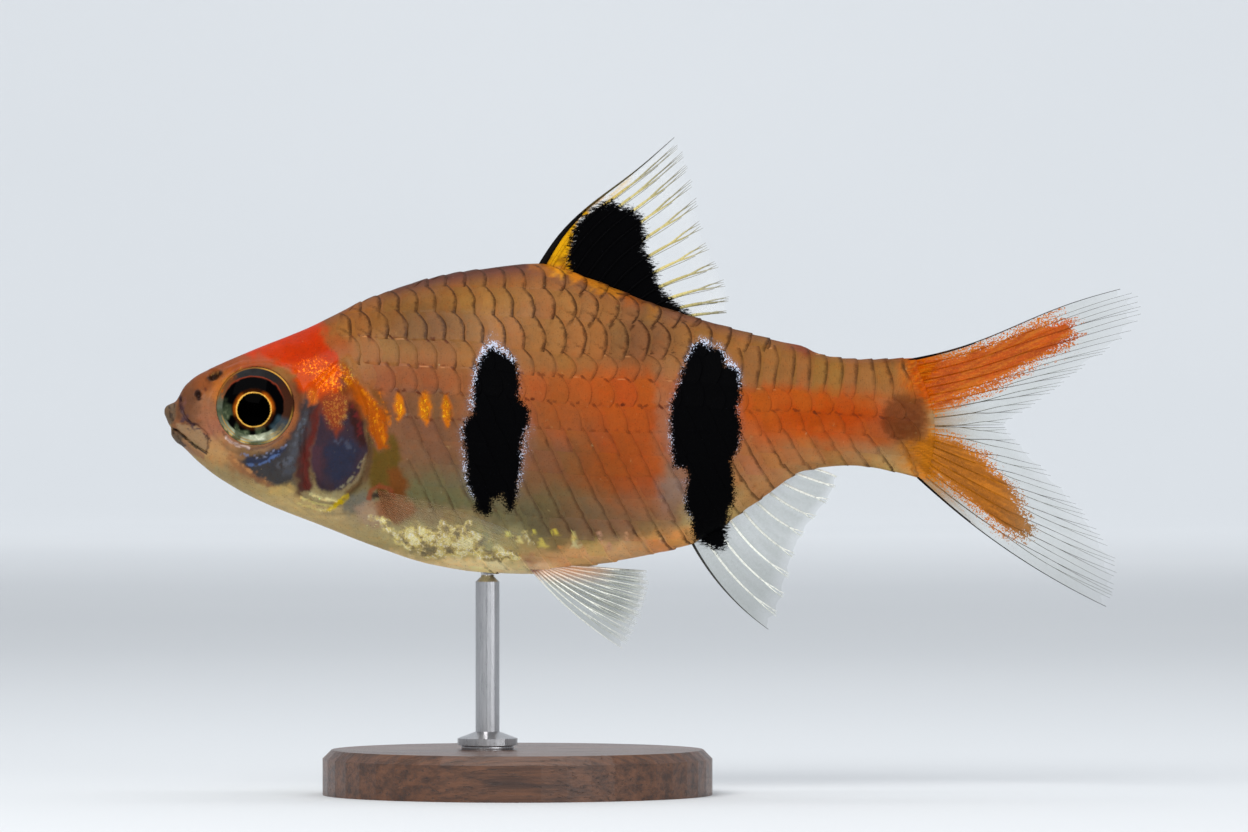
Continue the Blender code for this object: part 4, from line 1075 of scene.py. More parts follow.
rowsUp = [smoothCurve(points) for points in scales["rowsUp"]]
rowsDown = [smoothCurve(points) for points in scales["rowsDown"]]
sagTop = smoothCurve(scales["sagTop"])
sagLow = smoothCurve(scales["sagLow"])
sagMiddle = smoothCurve(scales["sagMiddle"])
scaleFront = smoothCurve(scales["front"])


def makeFlankTable():
    # for each length x, the angle round the body at a distance up or down from the line
    xs = np.arange(8.0, 52.01, scales["gridX"])
    heights = np.arange(-scales["maxDown"], scales["maxUp"] + 0.01, scales["gridUp"])
    angles = np.linspace(-0.9, math.pi + 0.9, 700)
    points = bodyPoint(np.minimum(xs, body["tailRootX"])[:, None], angles[None, :])
    arc = np.concatenate([np.zeros((len(xs), 1)),
                          np.cumsum(np.linalg.norm(np.diff(points[..., 1:], axis=1), axis=-1), 1)], 1)
    table = np.zeros((len(xs), len(heights)))
    middle = (angles > 0) & (angles < math.pi)
    for i, x in enumerate(xs):
        start = np.interp(-rowLine(x), -points[i, middle, 2], arc[i, middle])
        table[i] = np.interp(start - heights, arc[i], angles)
    ridges = np.array([np.interp(0.0, -table[i], heights) for i in range(len(xs))])
    keels = np.array([np.interp(-math.pi, -table[i], heights) for i in range(len(xs))])
    return xs, heights, table, ridges, keels


tableX, tableHeights, angleTable, ridgeHeights, keelHeights = makeFlankTable()


def flankPoint(x, height):
    u = np.clip((x - tableX[0]) / scales["gridX"], 0, len(tableX) - 1.001)
    v = np.clip((height - tableHeights[0]) / scales["gridUp"], 0, len(tableHeights) - 1.001)
    i, j = u.astype(int), v.astype(int)
    fu, fv = u - i, v - j
    angle = ((angleTable[i, j] * (1 - fu) + angleTable[i + 1, j] * fu) * (1 - fv)
             + (angleTable[i, j + 1] * (1 - fu) + angleTable[i + 1, j + 1] * fu) * fv)
    return bodyPoint(np.clip(x, 0, body["tailRootX"]), angle)


def flankNormal(x, height):
    step = 0.05
    alongX = flankPoint(x + step, height) - flankPoint(x - step, height)
    upward = flankPoint(x, height + step) - flankPoint(x, height - step)
    normal = np.cross(alongX, upward)
    return normal / np.maximum(np.linalg.norm(normal, axis=-1, keepdims=True), 1e-9)


lineZones = [  # how plainly the scales' rims show: centre, half length, half height, value
    (600, 393, 420, 16, 0.05), (600, 420, 420, 20, 0.14), (420, 395, 70, 34, 0.3), (420, 450, 70, 54, 0.3),
    (800, 402, 96, 13, 0.08), (800, 425, 96, 14, 0.25), (790, 450, 110, 22, 0.45), (600, 470, 170, 30, 0.3),
    (600, 505, 170, 26, 0.5), (450, 540, 110, 30, 0.0), (636, 465, 34, 44, 0.25), (930, 410, 26, 80, 0.1),
    (580, 545, 80, 12, 0.1), (760, 480, 40, 40, 0.8), (600, 365, 90, 8, 0.4), (590, 562, 90, 14, 0.0),
    (800, 352, 90, 7, 0.4), (905, 418, 26, 26, 0.05), (412, 352, 74, 13, 0.25), (600, 366, 90, 12, 0.35),
    (800, 366, 110, 22, 0.75),
]


def lineStrength(x, z):
    value = np.ones(np.shape(x))
    for *ellipse, strength in lineZones:
        value = value + (strength - value) * smoothStep(1.2, 0.7, ellipseAway(x, z, *ellipse))
    return value


def crossingStrength(x, z):
    # where the rows' rims cross plainly: below the dorsal fin, and a little at the nape
    plain = smoothStep(24.5, 28.0, x) * smoothStep(38.0, 36.0, x) * smoothStep(1.5, 3.0, z)
    front = smoothStep(17.0, 13.5, x) * smoothStep(3.5, 5.0, z) * 0.7
    return np.maximum(np.maximum(plain, front), 0.12)


def rowSpan(row, x):
    # lower and upper height of a row, counted from the line
    curves = rowsUp if row >= 0 else rowsDown
    index = row if row >= 0 else -1 - row
    sizes = [float(curves[min(i, len(curves) - 1)](x)) for i in range(index + 1)]
    start, end = sum(sizes[:-1]), sum(sizes)
    return (start, end) if row >= 0 else (-end, -start)


def scaleRows():
    # each scale's row, middle (x, height from the line), pitch, row height and slant
    made = []
    for row in range(-10, 7):
        pitch = pitchUp if row >= 0 else pitchDown
        x = 10.0 + (0.5 if row % 2 else 0.0) * float(pitch(10.0))
        while x < 49.2:
            low, high = rowSpan(row, x)
            tall, height, wide = high - low, (low + high) / 2, float(pitch(x))
            slant = 0.0
            if row < 0:
                slant = 0.5 * wide / tall * (0.35 if row == -1 else 0.75 if row == -2 else 1.0)
            x += wide
            place = x - wide
            ridgeAt = float(np.interp(place, tableX, ridgeHeights))
            keelAt = float(np.interp(place, tableX, keelHeights))
            if height > ridgeAt - 0.02 * tall or height < keelAt + 0.3 * tall:
                continue
            z = float(flankPoint(np.array([place]), np.array([height]))[0, 2])
            if place >= scaleFront(z):
                made.append((row, place, height, wide, tall, slant))
    return made


def rearRim(row, x0, q):
    # how far a scale's rear rim falls back at a height from -1 to 1
    if row < 0:
        return -(0.3 if row == -1 else 0.16 if row == -2 else 0.05) * q ** 2
    middle, top, low = float(sagMiddle(x0)), float(sagTop(x0)), float(sagLow(x0))
    return -top * np.maximum(q - middle, 0) ** 2 - low * np.maximum(middle - q, 0) ** 2


def rimsThrough(row, x0, wide, tall, x, q):
    # distance to the rims of the rows above and below, which show through, and how plainly
    away, shown = np.full(x.shape, 0.6), np.zeros(x.shape)
    if row < 0:
        return away, shown
    for other in (row + 1, row - 1):
        if other < 0:
            continue
        step = 2.0 if other < row else -2.0
        near = q + step
        plain = smoothStep(1.85, 1.2, np.abs(near)) * (np.abs(near) > 0.98)
        for k in (-1.5, -0.5, 0.5, 1.5):
            rim = x0 + k * wide + wide * 0.5 + rearRim(other, x0, near)
            slope = 2 * float(sagTop(x0) if near.mean() > 0 else sagLow(x0)) * np.abs(near) / (tall / 2)
            gap = np.abs(x - rim) / np.sqrt(1 + slope ** 2)
            closer = (gap < away) & (plain > 0)
            away = np.where(closer, gap, away)
            shown = np.where(closer, plain, shown)
    return away, shown


def makeScale(place, side, chance, order):
    row, x0, height0, wide, tall, slant = place
    along = np.array(scales["along"])[:, None]
    across = np.linspace(-1, 1, scales["across"] + 1)[None, :]
    q = across * scales["overlap"] + 0 * along
    length = scales["length"] * wide
    rear = rearRim(row, x0, q)
    rear = rear * chance.uniform(0.85, 1.15) + chance.uniform(-0.05, 0.05) * q
    rear = rear + 0.11 * (softNoise(q * 2.3, order * 7.7 + 0 * q, 1.0, 12) - 0.5)
    x = x0 + chance.uniform(-0.06, 0.06) + length * (along - 1) + wide * 0.5 + rear * (0.25 + 0.75 * along)
    cross, crossed = rimsThrough(row, x0, wide, tall, x, q)
    x = x - slant * q * tall / 2
    height = height0 + chance.uniform(-0.05, 0.05) + q * tall / 2
    lift = -scales["sink"] + (scales["lift"] + scales["sink"]) * along ** 0.9
    lift = lift - 0.1 * smoothStep(1.0, 1.35, np.abs(q)) + chance.uniform(-0.005, 0.005)
    edge = (1 - along) * length + 0 * q
    # a skirt closes the rear and the sides
    x = np.vstack([x, x[-1:] + 0.012])
    lift = np.vstack([lift, lift[-1:] - scales["skirt"]])
    height, edge, cross, crossed, q = [np.vstack([v, v[-1:]]) for v in (height, edge, cross, crossed, q)]
    point = flankPoint(x, height) + flankNormal(x, height) * lift[..., None]
    point[..., 1] *= side
    values = {"edge": edge, "across": q / scales["overlap"], "cross": cross, "crossed": crossed}
    return point.reshape(-1, 3), {key: value.ravel() for key, value in values.items()}, x.shape


def makeScales(name, side):
    chance = random.Random(11 if side > 0 else 23)
    (mapX, mapZ), (mapWide, mapTall), mapEdge = scales["mapStart"], scales["mapSize"], scales["mapEdge"]
    points, patches, faces, varied = [], [], [], []
    values = {key: [] for key in ("edge", "across", "cross", "crossed", "tone", "mark", "markLow", "dash")}
    count = 0
    for order, place in enumerate(scaleRows()):
        point, own, (rows, columns) = makeScale(place, side, chance, order)
        row, x0, height0, wide, tall, _ = place
        size = len(point)
        points.append(point)
        own["tone"] = np.full(size, chance.random())
        top, foot = scales["marks"]["stalk" if x0 > 37 else "nape" if x0 < 19 else "flank"]
        own["mark"] = np.full(size, top.get(row, 0.0) * chance.uniform(0.4, 1.0))
        own["markLow"] = np.full(size, foot.get(row, 0.0) * chance.uniform(0.3, 1.0))
        dash = 1.0 if row == 0 and x0 < 20.5 else 0.7 if row in (0, -1) and chance.random() < 0.45 else 0.0
        own["dash"] = np.full(size, dash)
        own["crossed"] = own["crossed"] * crossingStrength(point[:, 0], point[:, 2])
        for key in values:
            values[key].append(own[key])
        vary = [1 + chance.uniform(-reach, reach) for reach in scales["vary"]]
        varied.append(np.tile(vary, (size, 1)))
        u, v = np.meshgrid(*[np.linspace(mapEdge, 1 - mapEdge, many) for many in (rows, columns)],
                           indexing="ij")
        patches.append(np.stack([(x0 - mapX + (u - 0.5) * wide) / mapWide,
                                 (height0 - mapZ + (v - 0.5) * tall) / mapTall], -1).reshape(-1, 2))
        quads = gridFaces(rows, columns, first=count)
        faces += quads if side > 0 else [f[::-1] for f in quads]
        count += size
    points = np.vstack(points)
    made = addObject(name, points, faces, [scaleHorn])
    addMarkings(made, points, np.vstack(varied))
    for key, parts in values.items():
        addValues(made, key, np.concatenate(parts))
    addValues(made, "line", lineStrength(points[:, 0], points[:, 2]))
    uv = made.data.uv_layers.new(name="OFBake")
    corners = np.empty(len(made.data.loops), np.int32)
    made.data.loops.foreach_get("vertex_index", corners)
    patches = np.vstack(patches)
    uv.data.foreach_set("uv", patches[corners].astype(np.float32).ravel())
    print("  ", name, len(made.data.polygons), "faces, map", patches.min(0).round(3), patches.max(0).round(3))
    return made


makeScales("scales_left", 1)
makeScales("scales_right", -1)

print("stage: eyes")


def eyeTint(x, z):
    px, py = toPicture(x, z)
    (cx, cy), (pupilX, pupilY), (irisX, irisY) = eye["pixel"], eye["pupilPixel"], eye["irisPixel"]
    r = np.hypot(px - cx, py - cy)
    rPupil = np.hypot(px - pupilX, py - pupilY) + 0.5 * (softNoise(x, z, 0.2, 5) - 0.5)
    rIris = np.hypot((px - irisX) / 1.06, py - irisY) + 1.4 * (softNoise(x, z, 0.25, 6) - 0.5)
    turn = np.degrees(np.arctan2(-(py - cy), px - cx))
    fleck = smoothStep(0.5, 0.8, softNoise(x, z, 0.13, 9))
    soft = softNoise(x, z, 0.35, 10)

    def arc(middle, half):
        away = np.abs((turn - middle + 180) % 360 - 180)
        return smoothStep(1.35 * half, 0.65 * half, away)

    def line(distance, none, full):
        return smoothStep(none, full, np.abs(distance))

    green = arc(-125, 56) * smoothStep(18.5, 22, rIris) * smoothStep(0.3, 0.65, soft)
    glow = smoothStep(22.4, 17.8, rPupil) * np.maximum(np.maximum(arc(20, 40), 0.9 * arc(170, 34)), 0.1)
    ringWidth = 0.7 + 0.4 * arc(175, 50) + 0.2 * arc(0, 30)
    return coated(
        plain(len(x), 70, 70, 54),
        ((34, 31, 32), arc(75, 70) * 0.95),
        ((48, 50, 52), arc(100, 26) * soft * 0.8),
        ((62, 32, 20), arc(0, 42) * 0.92),
        ((150, 76, 24), arc(150, 24) * (0.35 + 0.6 * fleck)),
        ((96, 104, 88), arc(-165, 28) * 0.8),
        ((160, 166, 138), arc(-100, 42) * 0.95),
        # pale flecks low on the iris: partly its own flecks, partly a painted highlight
        ((214, 216, 190), arc(-90, 34) * (0.25 + 0.75 * fleck) * smoothStep(26, 31, rIris)),
        ((170, 140, 74), arc(-52, 18) * line(r - 34, 3, 1) * (0.3 + 0.6 * fleck)),
        ((214, 168, 70), arc(-80, 62) * line(r - 37.4, 1.3, 0.5) * 0.9),
        ((206, 152, 68), arc(52, 30) * line(r - 38.0, 1.1, 0.4)),
        ((150, 100, 40), arc(120, 50) * line(r - 38.2, 0.9, 0.4) * 0.8),
        ((170, 130, 66), arc(-130, 34) * line(r - 34.6, 1.0, 0.4) * 0.8),
        ((124, 50, 30), arc(85, 62) * line(rIris - 29.4, 1.3, 0.5) * 0.85),
        ((3, 3, 4), smoothStep(29.8, 28.4, rIris)),
        ((60, 70, 50), green * 0.9),
        ((94, 102, 76), 0.8 * green * fleck * smoothStep(22, 26, rIris)),
        ((58, 78, 88), arc(-38, 16) * smoothStep(23, 27, rIris) * (0.3 + 0.5 * soft)),
        ((196, 96, 16), glow * (0.55 + 0.4 * soft)),
        ((232, 176, 76), line((rPupil - 17.1) / ringWidth, 1.3, 0.5)),
        ((0, 0, 0), smoothStep(16.9, 16.4, rPupil)),
        ((34, 26, 22), smoothStep(38.4, 39.4, r) * 0.8))


def makeEyeMaterial():
    made, tree, shader = newMaterial("eyeball")
    place = inMillimetres(tree)
    fine = noise(tree, place, 12.0, 3.0)
    level = timesPlus(tree, fine, 0.5, 0.75)
    connect(tree, shader, {"Base Color": shaded(tree, attribute(tree, "tint", "Color"), level),
                           "Roughness": timesPlus(tree, fine, 0.2, 0.2), "Specular IOR Level": 0.0,
                           "Coat Weight": 0.008, "Coat Roughness": 0.05})
    addBump(tree, shader, fine, 0.00001, 0.3)
    return made


eyeball = makeEyeMaterial()


def makeEyes():
    for word, side in (("left", -1), ("right", 1)):
        made = makeEyeBall("eyeball_" + word, side)
        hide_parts("eye_" + word)


def makeEyeBall(name, side):
    share = np.linspace(0, 1, eye["rings"])[1:, None]
    turns = np.linspace(0, 2 * math.pi, eye["spokes"], endpoint=False)[None, :]
    cx, cz = eye["centre"]
    reach = eye["radius"] + 0.06
    x = np.concatenate([[cx], (cx + reach * share * np.cos(turns)).ravel()])
    z = np.concatenate([[cz], (cz + reach * share * np.sin(turns)).ravel()])
    r = np.hypot(x - cx, z - cz) / (reach + 0.12)
    out = rimPlane(x, z) - eye["sunk"] - 0.3 * eye["bulge"] + 1.3 * eye["bulge"] * np.sqrt(1 - r ** 2)
    lens = np.hypot(x - eye["pupil"][0], z - eye["pupil"][1])
    out += 0.05 * smoothStep(eye["pupilRadius"], 0.2, lens) - 0.03 * ridge(lens - 1.2, 0.08)
    points = np.stack([x, side * out, z], -1)
    spokes = eye["spokes"]
    faces = [(0, 1 + j, 1 + (j + 1) % spokes) for j in range(spokes)]
    faces += gridFaces(eye["rings"] - 1, spokes, wrap=True, first=1)
    if side > 0:
        faces = [f[::-1] for f in faces]
    made = addObject(name, points, faces, [eyeball])
    addValues(made, "tint", eyeTint(points[:, 0], points[:, 2]))
    return made


makeEyes()

print("stage: fins")


def rootAlong(line, startX, length, inward):
    # a fin's root, just inside the body's outline
    xs = [startX + length * i / 8 for i in range(9)]
    return [(x, float(line(x)) + inward) for x in xs]


def rootOnTail(startZ, endZ):
    return [(float(tailRoot(z)) - 0.45, float(z)) for z in np.linspace(startZ, endZ, 9)]


# Tips are where the rays end. Bow and hook bend the first ray and the last one. Splits are the shares of a
# ray where it forks, and leadDark is for the first ray's root and tip. A spine is its place among the rays,
# start, end and radius.
tailRays = {"rays": 10, "thick": 0.05, "splits": (0.34, 0.66), "spread": 0.22, "single": 0.5,
            "leadDark": (0.85, 0.7), "spines": [(0.0, 0.0, 0.22, 0.08), (0.012, 0.0, 0.3, 0.05)]}
fins = {
    "dorsal_fin": {
        "root": rootAlong(back, 25.0, 9.3, -0.35),
        "tips": [(33.9, 18.25), (34.6, 17.2), (35.0, 15.6), (35.5, 13.6), (36.1, 11.4), (36.9, 9.6),
                 (37.6, 7.9), (37.5, 6.6)],
        "bow": (0.56, 0.1), "hook": (-0.24, 0.0), "rays": 12, "thick": 0.14, "shadow": 0.7,
        "splits": (0.58, 0.8), "spread": 0.12, "crowd": 1.15, "leadDark": (1.0, 0.8),
        "spines": [(0.0, 0.0, 0.55, 0.25), (0.012, 0.0, 0.36, 0.16), (0.0, 0.1, 0.8, 0.11)]},
    "anal_fin": {
        "root": rootAlong(belly, 35.0, 7.6, 0.35),
        "tips": [(40.3, -14.55), (41.0, -13.2), (41.5, -11.5), (41.9, -9.8), (42.7, -8.0), (43.7, -6.6),
                 (44.6, -5.2), (44.8, -4.3)],
        "bow": (-0.5, 0.0), "rays": 10, "thick": 0.1, "splits": (0.7, 0.88), "spread": 0.08,
        "leadDark": (0.97, 0.85)},
    "tail_fin_upper": {
        **tailRays, "root": rootOnTail(3.45, -0.93), "bow": (-0.1, 0.0), "hook": (0.22, 0.0),
        "tips": [(63.9, 8.25), (64.9, 7.6), (65.0, 6.6), (64.2, 5.2), (62.4, 3.8), (60.4, 2.3), (58.4, 0.8),
                 (55.9, -0.86)]},
    "tail_fin_lower": {
        **tailRays, "root": rootOnTail(-4.35, -0.97), "bow": (-0.62, 0.0),
        "tips": [(62.9, -13.05), (63.5, -12.0), (63.4, -10.4), (62.6, -8.6), (61.2, -6.5), (59.4, -4.6),
                 (57.6, -2.7), (56.0, -1.04)]},
    "pelvic_fin_left": {
        "root": [(24.3, -10.35), (25.9, -10.2)],
        "tips": [(30.6, -15.75), (31.3, -14.6), (31.8, -13.2), (32.0, -11.9), (31.9, -10.6)],
        "bow": (-0.35, 0.0), "rays": 10, "thick": 0.07, "splits": (0.45, 0.72), "spread": 0.18},
    "pectoral_fin_left": {
        "root": [(14.25, -5.2), (14.6, -6.6)],
        "tips": [(24.1, -8.3), (23.6, -9.1), (22.2, -9.4), (20.3, -9.3), (18.2, -8.7)],
        "bow": (0.3, -0.3), "rays": 10, "thick": 0.035, "veiled": True, "splits": (0.4, 0.7),
        "spread": 0.2},
}


def makeFinMaterials():
    web, tree, shader = newMaterial("finWeb")
    place = inMillimetres(tree)
    fine = noise(tree, place, 5.0, 4.0, 0.65)
    tint, cover = attribute(tree, "tint", "Color"), attribute(tree, "cover")
    ink = attribute(tree, "ink")
    leaning = stretched(tree, place, (0.45, 1.0, 1.6), 38)
    ragged = minus(tree, noise(tree, leaning, 5.0, 6.0, 0.8), 0.5)
    black = mapped(tree, timesPlus(tree, ragged, 2.6, ink), 0.24, -0.16)
    level = timesPlus(tree, fine, 0.5, 0.75)
    # pigment that ends in fine grains
    grainy = minus(tree, noise(tree, place, 6.0, 6.0, 0.85), 0.5)
    speck = randomOf(tree, cells(tree, place, 15.0))
    end = timesPlus(tree, grainy, 1.3, attribute(tree, "dab"))
    end = timesPlus(tree, minus(tree, speck, 0.5), 0.9, end)
    painted = mapped(tree, end, 0.16, -0.12)
    pigment = mixed(tree, mapped(tree, speck, 0.6, 0.95, 0.0, 0.25), attribute(tree, "pigment", "Color"),
                    rgba(216, 124, 26))
    colour = shaded(tree, mixed(tree, painted, tint, pigment), level)
    thick = times(tree, cover, timesPlus(tree, fine, 0.6, 0.7))
    thick = maths(tree, "MAXIMUM", thick, times(tree, painted, 0.98))
    thick = maths(tree, "MAXIMUM", thick, black, clamp=True)
    connect(tree, shader, {"Base Color": mixed(tree, black, colour, inkBlack), "Alpha": thick,
                           "Roughness": 0.35, "Specular IOR Level": 0.02})
    addBump(tree, shader, fine, 0.00003, 0.4)
    ray, tree, shader = newMaterial("finRay")
    place = inMillimetres(tree)
    fine = noise(tree, place, 7.0, 3.0)
    joint = maths(tree, "FRACT", times(tree, attribute(tree, "along"), 2.6))
    mark = mapped(tree, maths(tree, "ABSOLUTE", minus(tree, joint, 0.5)), 0.4, 0.5)
    black = mapped(tree, timesPlus(tree, minus(tree, fine, 0.5), 1.2, attribute(tree, "ink")),
                   0.2, -0.1)
    level = timesPlus(tree, fine, 0.4, 0.8)
    level = timesPlus(tree, mark, -0.25, level)
    colour = shaded(tree, attribute(tree, "tint", "Color"), level)
    connect(tree, shader, {"Base Color": mixed(tree, black, colour, inkBlack),
                           "Alpha": attribute(tree, "cover"), "Roughness": 0.4, "Specular IOR Level": 0.02})
    addBump(tree, shader, timesPlus(tree, mark, -1.0, fine), 0.00002, 0.5)
    return web, ray


finWeb, finRay = makeFinMaterials()
dorsalInk = outlineFrom([(569, 244), (574, 226), (584, 214), (600, 203), (614, 200), (621, 206), (632, 208),
                         (643, 217), (646, 235), (645, 250), (655, 265), (658, 283), (669, 297), (690, 313),
                         (690, 330), (621, 320), (586, 300), (572, 284), (567, 257)])
dorsalYellow = outlineFrom([(536, 268), (546, 251), (560, 233), (575, 216), (588, 205), (598, 198),
                            (604, 196), (600, 203), (588, 211), (579, 222), (573, 240), (570, 256),
                            (580, 274), (560, 270)])


def dorsalTint(x, z, ray):
    px, py = toPicture(x, z)
    colours = plain(len(x), *((206, 192, 128) if ray else (226, 228, 228)))
    if ray:
        tip = smoothStep(0.7, 1.0, np.hypot(px - 560, py - 300) / 165)
        colours = blend(colours, srgb(146, 142, 116), tip)
    wild = 0.25 * (softNoise(x, z, 0.35, 41) - 0.5)
    wild = wild + 0.25 * (softNoise(x * 0.7 + z * 0.7, x * 0, 0.25, 42) - 0.5)
    yellow = smoothStep(0.16, -0.12, distanceToShape(x, z, dorsalYellow) + wild)
    amber = smoothStep(0.5, 0.8, softNoise(x + z, z - x, 0.4, 43))
    stripes = smoothStep(15, 5, distanceToLine(px, py, [(594, 202), (620, 176)]))
    stripes = stripes * smoothStep(0.4, 0.6, softNoise((px + py) * 0.11, (px - py) * 0.012, 1.0, 44))
    base = smoothStep(8, 4, distanceToLine(px, py + 20 * wild, [(536, 268), (572, 276), (600, 287)]))
    edge = smoothStep(5, 2.5, distanceToLine(px, py, [(628, 168), (640, 158), (652, 148)]))
    rear = smoothStep(8, 26, distanceToLine(px, py, [(560, 250), (640, 200), (690, 290)]))
    colours = coated(colours, ((214, 156, 16), yellow), ((120, 74, 20), yellow * amber * 0.7),
                     ((218, 176, 60), stripes * (1 - yellow)), ((186, 112, 18), base * 0.9),
                     ((150, 66, 40), edge * 0.7))
    cover = 0.12 + 0.16 * rear + 1.2 * np.maximum(np.maximum(yellow, 0.9 * base), 0.3 * stripes)
    return colours, cover, colours, farAway(x)


def clearTint(x, z, ray):
    px, py = toPicture(x, z)
    grain = 16 * (softNoise(x, z, 0.5, 61) - 0.5)
    peach = smoothStep(26, 8, distanceToLine(px + grain, py, [(536, 560), (560, 560), (600, 562)]))
    peach = peach * smoothStep(640, 560, px)
    root = smoothStep(20, 6, np.hypot(px - 530, py - 562) + 0.5 * grain)
    colours = coated(plain(len(x), *((238, 240, 232) if ray else (118, 127, 115))),
                     ((206, 150, 108), peach * (0.6 if ray else 1.0)), ((112, 62, 44), root * 0.8))
    cover = np.clip(0.36 + 0.34 * peach + 0.5 * root, 0, 1)
    return colours, cover, colours, farAway(x)


def sideFinTint(x, z, ray):
    root = smoothStep(2.4, 0.2, x - 14.3 + 0.8 * (softNoise(x, z, 0.6, 62) - 0.5))
    far = smoothStep(19.0, 22.0, x)
    colours = coated(plain(len(x), 150, 130, 100), ((140, 88, 54), root), ((128, 132, 124), far))
    cover = 0.1 + 0.2 * root if ray else 0.12 + 0.34 * root + 0.1 * far
    return colours, cover, colours, farAway(x)


